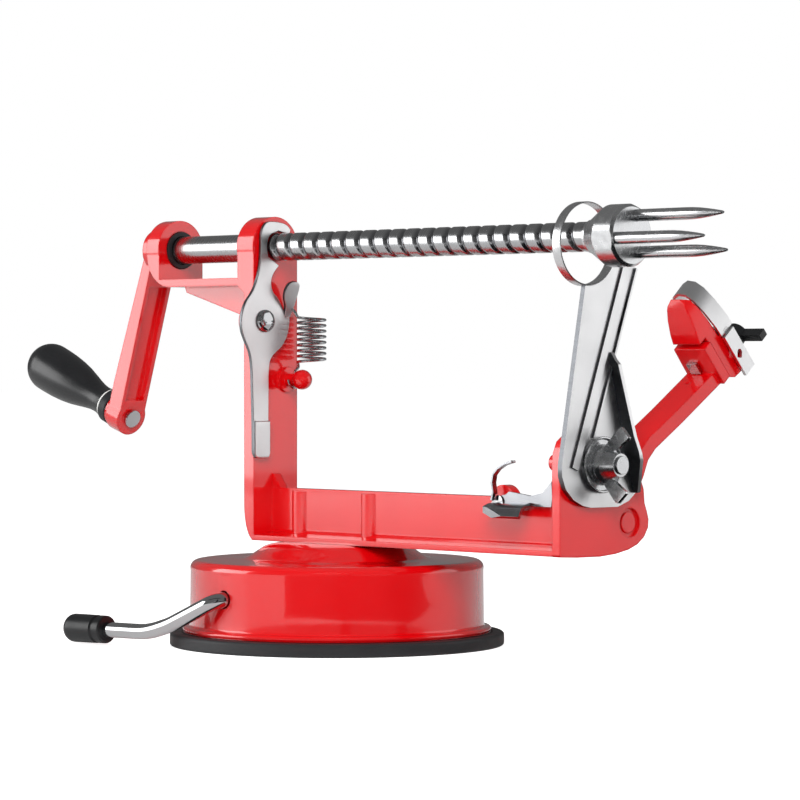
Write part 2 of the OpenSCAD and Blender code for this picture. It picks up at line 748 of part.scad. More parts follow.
// Outline of the latch above and below its disc, in Y and in height over the shaft's axis
latch_jaw = [[-1, -16], [-2.2, -13.6], [-3, -11.4], [-2.8, -9.4], [-1.6, -7.4], [0.2, -5.6], [-4.2, -3],
  [-4.7, 0], [-3.6, 3.4], [0, 5], [4.4, 4], [5, 5.4], [3.6, 6.7], [1, 7.5], [-3.6, 7.7], [-5.8, 6.6],
  [-7, 4], [-7.2, 0], [-7.5, -4.6], [-8.5, -9], [-9.9, -12.4], [-12.6, -16]];
latch_tail = [[-13.6, -27.8], [-10.9, -35.8], [-10.3, -52.4], [-10.3, -62.4], [-9.2, -63.7],
  [-5.2, -63.7], [-4.2, -62.4], [-4.2, -52.4], [-3.9, -35.8], [-0.6, -31]];
latch_tongue = [[2.6, -0.8], [4.5, -0.8], [5.1, 4], [5.1, 9.8], [4.3, 11.2], [2.2, 11.8], [0.3, 11],
  [-0.3, 8.6], [0.3, 6], [1.8, 3.4]];
// Slot that the tongue leaves in the disc
tongue_slot = [[1.9, -21.6], [-0.6, -20], [-2, -17.6], [-1.5, -16], [-0.4, -15.6], [0.8, -17], [2.6, -19.8],
  [2.8, -21.4]];
tongue_drop = 21.2;
tongue_lean = 24;
tab_drop = 52.4;
tab_thick = 0.9;
latch_rivet_head_r = 3.45;
latch_rivet_head_t = 1.3;

// Chrome latch plate with a jaw round the shaft, a tongue for the spring and a thumb tab
module latch_lever() {
  color("silver")
    difference() {
      union() {
        translate([0, 0, shaft_z])
          x_plate(latch_x0, latch_x1) {
            polygon(latch_jaw);
            polygon(latch_tail);
            translate([latch_disc_y, -latch_drop]) circle(r = latch_disc_r, $fn = round_fn);
          }
        translate([latch_x0, 0, shaft_z - tongue_drop]) rotate([0, tongue_lean, 0])
          x_plate(0, latch_t) polygon(latch_tongue);
        translate([0, 0, shaft_z])
          x_plate(latch_x1 - cut, latch_x1 + tab_thick)
            polygon([for (p = latch_tail) if (p[1] <= -tab_drop) p]);
      }
      x_bar(latch_x0 - cut, latch_x1 + cut, latch_rivet_r + fit, latch_y, latch_z);
      x_bar(latch_x0 - cut, latch_x1 + latch_t, shaft_r + gap, 0, shaft_z);
      translate([0, 0, shaft_z]) x_plate(latch_x0 - cut, latch_x1 + fit) polygon(tongue_slot);
    }
}

// Rivet that the latch turns on, pressed in the post
module latch_rivet() {
  color("silver") {
    x_bar(post_out_x, latch_x1 + fit, latch_rivet_r, latch_y, latch_z);
    x_bar(latch_x1 + fit, latch_x1 + fit + latch_rivet_head_t, latch_rivet_head_r, latch_y, latch_z);
  }
}

// Coil of the latch spring stands beside the peg, its hooks run from its corner to latch and peg
coil_stand_off = 7.3;
coil_x = post_x + coil_stand_off;
coil_y = 8.2;
coil_rise = 5.4;
coil_z = peg_z + coil_rise;
hook_reach = 1.5;
hook_x = latch_x1 + hook_reach;
hook_top = 1.5;
hook_high = 2.4;
guide_shares = [1, 0.2, 0.3];
coil_steps = 8;
wire_r = wire_d / 2;
spring_r = spring_d / 2;
hook_a = 225;

function coil_point(i) = let (a = hook_a + full * i / coil_steps)
  [coil_x + spring_r * cos(a), coil_y + spring_r * sin(a), coil_z + spring_pitch * i / coil_steps];
function latch_spring_path() =
  let (n = spring_curls * coil_steps, top = coil_point(n), low = coil_point(0),
       eye = peg_r + wire_r + gap / 2, ex = low[0] - spring_r / 6)
  concat(
    [for (k = [0 : 6]) let (a = -quarter * 2 + k * full / 8)
      [ex - wire_d * (6 - k) / 12, peg_y + eye * cos(a), peg_z + eye * sin(a)]],
    [[ex + spring_r / 24, peg_y + eye / 2, low[2] - spring_pitch]],
    [for (i = [0 : n]) coil_point(i)],
    [[top[0] - spring_r / 8, top[1] - spring_r / 6, top[2] + hook_top],
     [hook_x, peg_y, top[2] + hook_high]]);
function latch_spring_guides(path) = [for (p = path)
  (p[2] >= coil_z - spring_pitch / 2 && p[2] <= coil_z + spring_pitch * (spring_curls + 0.1))
    ? [coil_x - p[0], coil_y - p[1], 0] : guide_shares];
spring_path = latch_spring_path();
// Least distance between wire centres more than three quarters of a curl apart, less the wire
least_gap = min([for (i = [0 : len(spring_path) - 1], j = [0 : len(spring_path) - 1])
  if (j > i + 5) norm(spring_path[j] - spring_path[i])]) - wire_d;
echo(latch_spring_least_gap = least_gap);

// Close-wound steel spring from the peg to the latch's tongue
module latch_spring() {
  color("silver") tube(spring_path, latch_spring_guides(spring_path), wire_r, 6);
}

// Slicing blade

slicer_x0 = plate_out_x + gap;
slicer_x1 = slicer_x0 + blade_t;
ring_y = 0.4;
ring_drop = 1.9;
ring_r = ring_d / 2;
ring_inset = 2.1;
ring_x0 = plate_x + ring_inset;
// Outline of the blade plate in Y and in height over the bolt
slicer_shape = [[-0.4, 51], [-10.2, 0], [-10.1, -3], [-8.6, -6.6], [-5.4, -9.6], [-1.6, -11.3], [1.6, -11.9],
  [13, -12], [17.6, -10.4], [20.4, -8.2], [16.8, 3.3], [16.2, 7.8], [10.3, 29.4], [10.6, 31.5],
  [12.4, 34.5], [12.8, 38], [20.4, 55.4], [10, 58]];
rib_low = [-5.4, -1];
rib_high = [15.6, 55];
rib_w = 2.6;
rib_t = 0.7;
rib_step = 4.6;
edge_bends = [[20, -8.2], [16.2, 3.3], [15.6, 7.8], [9.7, 29.4], [9.9, 31.4]];
edge_t = 1.2;
// Outline of the folded edge in X from the plate's face and in height over the bolt
edge_shape = [[-0.7, -8.2], [1.6, -8.2], [5.4, 1], [5.6, 3.3], [4.2, 7.8], [3.2, 28], [0.6, 31.4], [-0.7, 31.4]];
edge_reach = 6;

// A strip of a given width between two points of a flat drawing
module strip(a, b, w) {
  l = norm(b - a);
  translate(a) rotate([0, 0, atan2(b[1] - a[1], b[0] - a[0])]) translate([0, -w / 2]) square([l, w]);
}

// Chrome plate with a slicing rib, clamped by the wing nut, its top cut to the coring ring
module slicer_blade() {
  color("silver")
    difference() {
      union() {
        translate([0, 0, bolt_z]) x_plate(slicer_x0, slicer_x1) polygon(slicer_shape);
        difference() {
          translate([0, 0, bolt_z]) x_plate(slicer_x1 - rib_t, slicer_x1 + rib_t) {
            strip(rib_low, rib_high, rib_w);
            strip(rib_low + [rib_step, 0], rib_high + [rib_step, 0], rib_t);
          }
          x_bar(slicer_x1, slicer_x1 + rib_t + cut, washer_r + gap, bolt_y, bolt_z);
        }
        translate([0, 0, bolt_z])
          intersection() {
            x_plate(slicer_x1 - blade_t, slicer_x1 + edge_reach) polygon(strip_outline(edge_bends, edge_t));
            translate([slicer_x1, 0, 0]) y_plate(0, frame_w + half_w) polygon(edge_shape);
          }
      }
      x_bar(slicer_x0 - cut, slicer_x1 + edge_reach + cut, ring_r - fit, ring_y, shaft_z - ring_drop);
      x_bar(slicer_x0 - cut, slicer_x1 + edge_reach + cut, bolt_r + fit, bolt_y, bolt_z);
    }
}

// Thin sharp tube that cuts out the core as the fruit passes over it
module coring_ring() {
  color("silver")
    difference() {
      x_bar(ring_x0, ring_x0 + ring_l, ring_r, ring_y, shaft_z - ring_drop);
      x_bar(ring_x0 - cut, ring_x0 + ring_l + cut, ring_r - ring_wall, ring_y, shaft_z - ring_drop);
    }
}

bolt_head_w = 7;
bolt_head_t = 2.4;
bolt_reach = 10.4;
bolt_end_x = plate_out_x + bolt_reach;
washer_r = 7.95;
washer_t = 1.5;
washer_dish_r = 5.6;
washer_dish_t = 0.7;
nut_x = slicer_x1 + fit + washer_t + fit;
nut_flange_r = 5.2;
nut_foot_t = 0.8;
nut_r = 4.2;
nut_top_r = 3.3;
nut_l = 6.2;
wing_t = 1.3;
// Outline of a wing along the bolt and outwards, as shares of the wing's reach
wing_shares = [[0.02, 0.2], [0.04, 0.5], [0.5, 0.98], [0.58, 1], [0.84, 0.74], [0.82, 0.68], [0.36, 0.38],
  [0.34, 0.2]];
wing_turn = 86;

// Square-headed bolt through the end plate
module slicer_bolt() {
  head_x = plate_x - bolt_boss_t;
  color("silver") {
    x_bar(head_x - bolt_head_t / 2, bolt_end_x, bolt_r, bolt_y, bolt_z);
    translate([head_x - bolt_head_t, bolt_y - bolt_head_w / 2, bolt_z - bolt_head_w / 2])
      cube([bolt_head_t, bolt_head_w, bolt_head_w]);
  }
}

// Dished washer between the blade and the wing nut
module cup_washer() {
  x0 = slicer_x1 + fit;
  color("silver")
    difference() {
      x_bar(x0, x0 + washer_t, washer_r, bolt_y, bolt_z);
      difference() {
        x_bar(x0 + washer_dish_t, x0 + washer_t + cut, washer_r - washer_dish_t, bolt_y, bolt_z);
        x_bar(x0, x0 + washer_t, washer_dish_r, bolt_y, bolt_z);
      }
      x_bar(x0 - cut, x0 + washer_t + cut, bolt_r + fit, bolt_y, bolt_z);
    }
}

// Wing nut with two flaring wings
module wing_nut() {
  color("silver")
    difference() {
      translate([0, bolt_y, bolt_z]) rotate([wing_turn, 0, 0]) {
        rotate([0, quarter, 0])
          rotate_extrude($fn = round_fn)
            polygon([[0, nut_x], [nut_flange_r, nut_x], [nut_flange_r, nut_x + nut_foot_t],
                     [nut_r, nut_x + 2 * nut_foot_t], [nut_top_r, nut_x + nut_l], [0, nut_x + nut_l]]);
        for (side = [-1, 1])
          mirror([0, side > 0 ? 1 : 0, 0])
            translate([nut_x, 0, -wing_t / 2])
              linear_extrude(height = wing_t) polygon(wing_r * wing_shares);
      }
      x_bar(nut_x - cut, nut_x + nut_l + cut, bolt_r + fit, bolt_y, bolt_z);
    }
}

// Peeling arm

arm_inset = 1;
arm_x1 = plate_x - arm_inset;
arm_x0 = arm_x1 - arm_w;
hub_end_x = plate_x - gap;
arm_hub_r = 6;
// Middle line of the arm from its pin, in Y and Z
arm_bends = [[0, 0], [8.4, 13.6], [10.6, 18.6], [14.2, 22.2], [26.3, 29.8], [44.6, 41.9]];
head_from_pin = [4, 39.9, 44];
head_x = arm_x0 + head_from_pin[0];
head_y = arm_pin_y + head_from_pin[1];
head_z = arm_pin_z + head_from_pin[2];
head_lean = 41.6;
eye_t = 3.5;
eye_shape = [[-4.8, -6.6], [-4.7, 0], [-4.4, 6.7], [7.4, 6.7], [7.4, -6.6]];
head_rivet_r = 1.7;
pin_head_r = 4;

function strip_side(path, w, side) = [for (i = [0 : len(path) - 1])
  let (t0 = unit(path[max(i, 1)] - path[max(i, 1) - 1]),
       t1 = unit(path[min(i + 1, len(path) - 1)] - path[min(i + 1, len(path) - 1) - 1]),
       m = unit(t0 + t1))
  path[i] + side * w / 2 / (m * t0) * [-m[1], m[0]]];
function reversed(v) = [for (i = [len(v) - 1 : -1 : 0]) v[i]];
function strip_outline(path, w) =
  concat(strip_side(path, w, 1), reversed(strip_side(path, w, -1)));

// Moves a shape drawn along x, back and up to the leaning blade head
module head_place() {
  translate([head_x, head_y, head_z]) rotate([head_lean, 0, 0]) children();
}

// A flat shape drawn in x and up, given a thickness from front to back
module back_plate(b0, b1) {
  translate([0, b1, 0]) rotate([quarter, 0, 0]) linear_extrude(height = b1 - b0) children();
}

// Red arm on its pin, ending in a flat eye for the blade head's rivet
module peeler_arm() {
  color("#d3141c")
    difference() {
      union() {
        x_bar(arm_x0, hub_end_x, arm_hub_r, arm_pin_y, arm_pin_z);
        translate([0, arm_pin_y, arm_pin_z])
          x_plate(arm_x0, arm_x1) polygon(strip_outline(arm_bends, arm_t));
        head_place()
          back_plate(0, eye_t) polygon(eye_shape);
      }
      x_bar(arm_x0 - cut, hub_end_x + cut, arm_pin_r + fit, arm_pin_y, arm_pin_z);
      head_place()
        translate([0, eye_t + cut, 0]) rotate([quarter, 0, 0])
          cylinder(r = head_rivet_r + fit, h = 3 * eye_t, $fn = round_fn);
    }
}

pin_tail = 7.4;
pin_x0 = arm_x0 - pin_tail;

// Pin of the arm, pressed in the end plate, with a head beyond the spring
module arm_pin() {
  color("silver") {
    x_bar(pin_x0, plate_out_x - pin_recess / 2, arm_pin_r, arm_pin_y, arm_pin_z);
    x_bar(pin_x0 - fit, pin_x0 + gap, pin_head_r, arm_pin_y, arm_pin_z);
  }
}

arm_wire_r = 0.6;
arm_coil_r = 4.3;
arm_curls = 3;
arm_coil_inset = 1.2;
arm_coil_clear = 0.5;
arm_coil_pitch = (pin_tail - arm_coil_inset - arm_wire_r - arm_coil_clear) / arm_curls;
arm_leg = 9;
arm_coil_x = pin_x0 + arm_coil_inset;
arm_hook_a = 200;
upper_leg_shares = [0, -0.2, 0.56];
lower_leg_shares = [0, 0.34, -0.47];

function arm_coil_point(i) = let (a = arm_hook_a + full * i / coil_steps)
  [arm_coil_x + arm_coil_pitch * i / coil_steps, arm_pin_y + arm_coil_r * cos(a),
   arm_pin_z + arm_coil_r * sin(a)];
arm_spring_path = let (n = arm_curls * coil_steps, p = arm_coil_point(0), q = arm_coil_point(n))
  concat([p + arm_leg * upper_leg_shares], [for (i = [0 : n]) arm_coil_point(i)],
         [q + arm_leg * lower_leg_shares]);
arm_spring_gap = min([for (i = [0 : len(arm_spring_path) - 1], j = [0 : len(arm_spring_path) - 1])
  if (j > i + 5) norm(arm_spring_path[j] - arm_spring_path[i])]) - 2 * arm_wire_r;
echo(arm_spring_least_gap = arm_spring_gap);

// Torsion spring round the arm's pin
module arm_spring() {
  color("silver")
    tube(arm_spring_path,
         [for (p = arm_spring_path) [0, arm_pin_y - p[1], arm_pin_z - p[2]]], arm_wire_r, 6);
}

casting_b0 = eye_t + gap;
casting_b1 = 12.2;
blade_gap = 0.2;
casting_x0 = -4.4;
casting_x1 = 6.2;
// Side outline of the blade head, back against up
head_side = [[3.8, -7.4], [6, -9.4], [12.2, -10.4], [12.2, 1.6], [9.4, 3.4], [8.3, 5], [8.3, 10],
  [8.3, 18.6], [6.6, 20.4], [4.6, 18], [1.6, 11], [0.7, 8], [3.8, 8]];
// Front outline of the blade head, x against up
head_front = [[-4.4, -11], [6.2, -11], [6.2, 6], [5.8, 11], [4.8, 15.6], [3, 19.4], [0.8, 20.8],
  [-1.6, 20.8], [-3.4, 18.8], [-4.2, 15], [-4.4, 10], [-4.4, 7]];
rivet_play = 0.3;

// Red casting that swivels on the arm's eye and guides the peeling blade
module blade_head() {
  color("#d3141c")
    difference() {
      head_place()
        intersection() {
          x_plate(casting_x0 - cut, casting_x1 + cut) polygon(head_side);
          back_plate(0, casting_b1 + cut) polygon(head_front);
        }
      head_place()
        translate([0, casting_b1, 0]) rotate([quarter, 0, 0])
          cylinder(r = head_rivet_r + fit, h = casting_b1, $fn = round_fn);
      head_place()
        translate([0, casting_b1 + cut, 0]) rotate([quarter, 0, 0])
          cylinder(r = tail_r + gap, h = casting_b1 - rivet_seat_b + cut, $fn = round_fn);
      head_place()
        translate([screw_place[0], casting_b1 + cut, screw_place[1]]) rotate([quarter, 0, 0])
          cylinder(r = blade_screw_r, h = blade_screw_seat + cut, $fn = round_fn);
    }
}

rivet_seat_b = 10.4;
rivet_end_w = 3.6;
rivet_end_t = 1.1;

// Rivet of the blade head, with a square end at the front
module head_rivet() {
  color("silver")
    head_place() {
      translate([0, rivet_seat_b + rivet_play, 0]) rotate([quarter, 0, 0])
        cylinder(r = head_rivet_r, h = rivet_seat_b + rivet_play + rivet_end_t / 2, $fn = round_fn);
      translate([-rivet_end_w / 2, -rivet_end_t - fit, -rivet_end_w / 2])
        cube([rivet_end_w, rivet_end_t, rivet_end_w]);
      translate([0, rivet_seat_b + rivet_play + rivet_end_t, 0]) rotate([quarter, 0, 0])
        cylinder(r = tail_r, h = rivet_end_t, $fn = round_fn);
    }
}

blade_b0 = 8.6;
blade_b1 = blade_b0 + peel_blade_w;
blade_x0 = casting_x0 - blade_gap - peel_blade_t;
blade_x1 = casting_x1 + blade_gap + peel_blade_t;
blade_low = -3;
tang_low = 4.2;
tang_inset = 1.6;
tang_w = 2;
// Middle line of the blade's strip in x and up
blade_bends = [[-5, 4.2], [-5.2, 9.6], [-4.8, 15.8], [-2.8, 19.2], [-0.4, 20.4], [2, 19.9], [3.8, 17.8],
  [5.4, 13.4], [6.6, 7.6], [6.8, 4.2]];

// Peeling blade: a strip bent over the tip of its head, with a limb down each side
module peel_blade() {
  color("silver")
    head_place() {
      back_plate(blade_b0, blade_b1) polygon(strip_outline(blade_bends, peel_blade_t));
      for (x = [blade_x0, blade_x1 - peel_blade_t])
        translate([x, blade_b0 + tang_inset, blade_low])
          cube([peel_blade_t, tang_w, tang_low - blade_low + cut]);
    }
}

holder_t = 1;
holder_low = -10.8;
holder_high = 3.9;
holder_b0 = 8.4;
holder_b1 = casting_b1 + blade_gap + holder_t;
holder_hole_w = 2;
holder_hole_drop = 4.1;
blade_screw_r = 1.25;
blade_screw_seat = 6;
tail_r = 2.4;
screw_place = [0.9, -4.5];
screw_knob_r = 3.3;
screw_knob_l = 7.4;
screw_wing_l = 10.4;
screw_wing_w = 3.2;
screw_wing_t = 2.4;
collar_r = 3.9;
collar_t = 0.9;

// Bent chrome channel that holds the blade's limbs against the head
module blade_holder() {
  x0 = blade_x0 - fit - holder_t;
  x1 = blade_x1 + fit + holder_t;
  color("silver")
    head_place()
      difference() {
        translate([x0, holder_b0, holder_low]) cube([x1 - x0, holder_b1 - holder_b0, holder_high - holder_low]);
        translate([x0 + holder_t, holder_b0 - cut, holder_low - cut])
          cube([x1 - x0 - 2 * holder_t, holder_b1 - holder_b0 - holder_t + cut,
                holder_high - holder_low + 2 * cut]);
        translate([screw_place[0], holder_b1 + cut, screw_place[1]]) rotate([quarter, 0, 0])
          cylinder(r = blade_screw_r + fit, h = holder_t + 2 * cut, $fn = round_fn);
        translate([x1 - holder_t - cut, casting_b1 - holder_hole_w, -holder_hole_drop])
          rotate([quarter / 2, 0, 0]) translate([0, -holder_hole_w / 2, -holder_hole_w / 2])
            cube([holder_t + 2 * cut, holder_hole_w, holder_hole_w]);
      }
}

// Black wing screw behind the head
module blade_screw() {
  b0 = holder_b1 + fit;
  color("#202123")
    head_place()
      translate([screw_place[0], 0, screw_place[1]]) {
        translate([0, b0 + cut, 0]) rotate([quarter, 0, 0])
          cylinder(r = blade_screw_r - fit, h = b0 + cut - casting_b1 + blade_screw_seat - gap, $fn = round_fn);
        translate([0, b0 + collar_t, 0]) rotate([quarter, 0, 0])
          cylinder(r = collar_r, h = collar_t, $fn = round_fn);
        translate([0, b0 + screw_knob_l, 0]) rotate([quarter, 0, 0])
          cylinder(r = screw_knob_r, h = screw_knob_l, $fn = round_fn);
        translate([-screw_wing_l, b0 + screw_knob_l - screw_wing_w, -screw_wing_t / 2])
          cube([2 * screw_wing_l, screw_wing_w, screw_wing_t]);
      }
}

// Arm catch

catch_t = 1.2;
catch_y1 = -web_t / 2 - gap;
catch_y0 = catch_y1 - catch_t;
catch_z = beam_top_z - lug_r * lug_sink_share;
// Outline of the catch in X and Z from its pin
catch_shape = [[-3.4, -0.6], [-1, 1.6], [2.6, 2.1], [3.9, 3], [12.3, 2], [16.9, 3], [20.3, 6.3], [20.6, 1.4],
  [20.2, -0.9], [14.8, -1], [12.3, -0.8], [9.8, -2.3], [0.4, -2.9], [-2.6, -2.3]];
// Cross-section of the thumb tab in Y and Z from the catch's face, and its outline in X and Y
tab_bends = [[0.6, -0.4], [-3, -1], [-4.6, -1.9], [-6, -4]];
tab_shape = [[0.4, 1], [-2, -4.6], [8.3, -6.8], [13.8, -6.8], [12, 1]];

catch_pin_head_r = 2;
catch_pin_head_t = 0.5;

// Room round the pin's head, cut out of what lies on the catch's face
module catch_head_space() {
  translate([catch_x, catch_y0, catch_z]) rotate([quarter, 0, 0])
    cylinder(r = catch_pin_head_r + gap, h = catch_pin_head_t + gap, $fn = round_fn);
}

// Chromed steel lever beside the web with a thumb tab bent to the front
module arm_catch() {
  color("#55585c")
    difference() {
      union() {
        translate([catch_x, 0, catch_z]) y_plate(catch_y0, catch_y1) polygon(catch_shape);
        translate([catch_x, catch_y0, catch_z])
          intersection() {
            x_plate(-half_w, frame_w) polygon(strip_outline(tab_bends, catch_t));
            translate([0, 0, -half_w]) linear_extrude(height = frame_w) polygon(tab_shape);
          }
      }
      translate([catch_x, catch_y1 + cut, catch_z]) rotate([quarter, 0, 0])
        cylinder(r = catch_pin_r + fit, h = 3 * catch_t, $fn = round_fn);
      catch_head_space();
    }
}

// Rivet that the catch turns on, pressed in the web's lug
module catch_pin() {
  color("silver") {
    translate([catch_x, web_t / 2, catch_z]) rotate([quarter, 0, 0])
      cylinder(r = catch_pin_r, h = web_t / 2 - catch_y0 + fit, $fn = round_fn);
    translate([catch_x, catch_y0 - fit, catch_z]) rotate([quarter, 0, 0])
      cylinder(r = catch_pin_head_r, h = catch_pin_head_t, $fn = round_fn);
  }
}

strip_t = 0.7;
strip_w = 1.8;
// Bends of the leaf spring in X and Z from the catch's pin
leaf_bends = [[-1.4, 0.4], [-0.8, 2.8], [-1.3, 5.4], [-0.8, 7.8], [0.8, 9.4], [3.4, 10.8], [6.6, 11.6]];
leaf_y0 = catch_y0 - fit - strip_w;

// Thin leaf spring that stands up from the catch
module catch_spring() {
  color("#8a8d91")
    difference() {
      translate([catch_x, 0, catch_z])
        y_plate(leaf_y0, leaf_y0 + strip_w) polygon(strip_outline(leaf_bends, strip_t));
      catch_head_space();
    }
}

suction_pad();
base_cup();
base_screws();
frame_casting();
latch_rivet();
latch_spring();
slicer_bolt();
arm_pin();
arm_spring();
catch_pin();
catch_spring();
outer_bush();
drive_shaft();
crank_arm();
grip_bolt();
fork_hub();
fork_prongs();
handle_grip();
grip_ferrule();
grip_ring();
latch_lever();
slicer_blade();
coring_ring();
cup_washer();
wing_nut();
peeler_arm();
head_rivet();
blade_head();
peel_blade();
blade_holder();
blade_screw();
arm_catch();
suction_lever();
lever_cap();
lever_clip();
suction_stud();
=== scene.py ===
import math

import bmesh
import bpy
from mathutils import Matrix, Vector


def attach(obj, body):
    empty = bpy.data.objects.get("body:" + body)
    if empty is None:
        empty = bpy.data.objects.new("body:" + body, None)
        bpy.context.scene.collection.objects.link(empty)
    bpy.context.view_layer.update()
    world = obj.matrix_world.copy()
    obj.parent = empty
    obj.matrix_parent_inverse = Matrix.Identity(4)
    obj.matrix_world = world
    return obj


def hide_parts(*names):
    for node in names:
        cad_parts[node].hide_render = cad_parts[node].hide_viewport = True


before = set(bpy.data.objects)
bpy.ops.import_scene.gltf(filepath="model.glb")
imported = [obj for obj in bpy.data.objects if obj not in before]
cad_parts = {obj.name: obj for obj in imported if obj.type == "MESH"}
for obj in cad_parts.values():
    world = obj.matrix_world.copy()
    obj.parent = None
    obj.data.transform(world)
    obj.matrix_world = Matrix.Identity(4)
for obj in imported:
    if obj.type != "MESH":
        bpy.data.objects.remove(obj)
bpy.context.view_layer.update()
MM = 0.001


# Studio. The camera stands at the photograph's place: 45.5 degrees round from the front, lens axis
# just over the table. A pale floor, a white surround and large soft lamps light the peeler.

scene = bpy.context.scene
scene.view_settings.view_transform = "Standard"


def link(obj):
    scene.collection.objects.link(obj)
    return obj


def linear(code, alpha=1.0):
    """Turns an sRGB hex colour into the linear values that shaders take."""
    parts = [int(code[i:i + 2], 16) / 255 for i in (1, 3, 5)]
    return (*[c / 12.92 if c <= 0.04045 else ((c + 0.055) / 1.055) ** 2.4 for c in parts], alpha)


def add_node(tree, kind, settings=None, **inputs):
    """Adds a node, applies its settings, and fills inputs with values or links."""
    made = tree.nodes.new(kind)
    for key, value in (settings or {}).items():
        setattr(made, key, value)
    for key, value in inputs.items():
        socket = made.inputs[int(key[1:])] if key[1:].isdigit() else made.inputs[key.replace("_", " ")]
        if isinstance(value, bpy.types.NodeSocket):
            tree.links.new(value, socket)
        else:
            socket.default_value = value
    return made


def new_material(name):
    material = bpy.data.materials.new(name)
    material.use_nodes = True
    material.node_tree.nodes.clear()
    return material, material.node_tree


camera_round, camera_down = 45.5, 0.70
camera = link(bpy.data.objects.new("camera", bpy.data.cameras.new("camera")))
camera.data.lens = 154.8
camera.data.sensor_width = 36
camera.data.clip_end = 50
camera.location = (0.7469, -0.7076, 0.0856)
camera.rotation_euler = (math.radians(90 - camera_down), 0, math.radians(camera_round))
scene.camera = camera


def aim_at(obj, place, target):
    """Puts a lamp or a card in its place, with its face towards a target."""
    obj.location = place
    obj.rotation_euler = (Vector(target) - Vector(place)).to_track_quat("-Z", "Y").to_euler()


def soft_lamp(name, place, aim, size, size_y, power, mirrored=True):
    """A rectangular soft lamp; mirrored says whether shiny surfaces show it."""
    lamp = bpy.data.lights.new(name, "AREA")
    lamp.shape = "RECTANGLE"
    lamp.size = size
    lamp.size_y = size_y
    lamp.energy = power
    obj = link(bpy.data.objects.new(name, lamp))
    aim_at(obj, place, aim)
    obj.visible_glossy = mirrored


soft_lamp("left_window", (-0.85, -0.80, 0.36), (0, 0, 0.36), 0.8, 0.7, 5.6)
soft_lamp("right_window", (0.85, 0.85, 0.36), (0, 0, 0.36), 0.8, 0.7, 1.7)
soft_lamp("top_window", (0.1, -0.2, 1.0), (0, 0, 0.05), 0.7, 0.5, 1.5, mirrored=False)
soft_lamp("camera_fill", (0.75, -0.85, 0.75), (0, 0, 0.07), 0.6, 0.6, 13, mirrored=False)


def seen_directly(tree):
    """The light path node, and a value of 1 where the camera sees a surface itself or through glass."""
    path = add_node(tree, "ShaderNodeLightPath")
    return path, add_node(tree, "ShaderNodeMath", {"operation": "MAXIMUM"},
                          _0=path.outputs["Is Camera Ray"], _1=path.outputs["Is Transmission Ray"])


world_light, world_mirrored = 0.2, 0.16
world = bpy.data.worlds.new("white_surround")
scene.world = world
world.use_nodes = True
tree = world.node_tree
tree.nodes.clear()
seen, direct = seen_directly(tree)
grade = add_node(tree, "ShaderNodeMapRange", Value=direct.outputs[0], To_Min=world_light, To_Max=1.0)
glossy = add_node(tree, "ShaderNodeMapRange", Value=seen.outputs["Is Glossy Ray"], To_Min=0.0,
                  To_Max=world_mirrored - world_light)
strength = add_node(tree, "ShaderNodeMath", {"operation": "ADD"}, _0=grade.outputs[0],
                    _1=glossy.outputs[0])
back = add_node(tree, "ShaderNodeBackground", Color=(1, 1, 1, 1), Strength=strength.outputs[0])
add_node(tree, "ShaderNodeOutputWorld", Surface=back.outputs[0])


def flat_sheet(name, width, height):
    """A rectangle about the origin, in metres."""
    w, h = width / 2, height / 2
    mesh = bpy.data.meshes.new(name)
    mesh.from_pydata([(-w, -h, 0), (w, -h, 0), (w, h, 0), (-w, h, 0)], [], [(0, 1, 2, 3)])
    return link(bpy.data.objects.new(name, mesh))


floor_side, floor_glow = 12, 0.86
floor = flat_sheet("pale_floor", floor_side, floor_side)
material, tree = new_material("white_paper")
seen, direct = seen_directly(tree)
glow = add_node(tree, "ShaderNodeMapRange", Value=direct.outputs[0], To_Min=0.0, To_Max=floor_glow)
lit = add_node(tree, "ShaderNodeBsdfDiffuse", Color=linear("#F2F2F2"))
self_lit = add_node(tree, "ShaderNodeEmission", Color=(1, 1, 1, 1), Strength=glow.outputs[0])
both = add_node(tree, "ShaderNodeAddShader", _0=lit.outputs[0], _1=self_lit.outputs[0])
add_node(tree, "ShaderNodeOutputMaterial", Surface=both.outputs[0])
floor.data.materials.append(material)


# Black cards: one lies on the table and the others stand beside the lens and over it. The camera
# doesn't see them, but the chrome and the steel show the dark streaks that studio metal shows.

def black_card(name, place, aim, width, height):
    card = flat_sheet(name, width, height)
    aim_at(card, place, aim)
    card.data.materials.append(card_black)
    card.visible_camera = card.visible_diffuse = card.visible_shadow = False


card_black, tree = new_material("black_card")
paint = add_node(tree, "ShaderNodeBsdfDiffuse", Color=linear("#1C1D1F"))
add_node(tree, "ShaderNodeOutputMaterial", Surface=paint.outputs[0])
black_card("card_table", (0.36, -0.17, 0.0005), (0.36, -0.17, 1), 0.62, 0.62)
black_card("card_lens", (1.0, -0.75, 0.25), (0, 0, 0.1), 0.16, 0.9)
black_card("card_high", (0.3, -0.6, 0.75), (0, 0, 0.1), 1.2, 0.12)
black_card("card_right", (0.9, 0.1, 0.2), (0, 0, 0.1), 0.14, 0.8)


# Suction pad: a black rubber disc, moulded in one piece, with a thick flat rim that shows all round
# under the cup. Moulded rubber is dull with a fine grain.

def shade_evenly(piece, smooth):
    """Smooth shading up to an angle in degrees, in which large flat faces stay flat."""
    piece.data.shade_smooth()
    piece.data.set_sharp_from_angle(angle=math.radians(smooth))
    even = piece.modifiers.new("even", "WEIGHTED_NORMAL")
    even.keep_sharp = True
    even.weight = 100
    bake(piece)


def evaluated_mesh(obj):
    """A plain mesh of what an object's curve or modifiers make."""
    bpy.context.view_layer.update()
    return bpy.data.meshes.new_from_object(obj.evaluated_get(bpy.context.evaluated_depsgraph_get()))


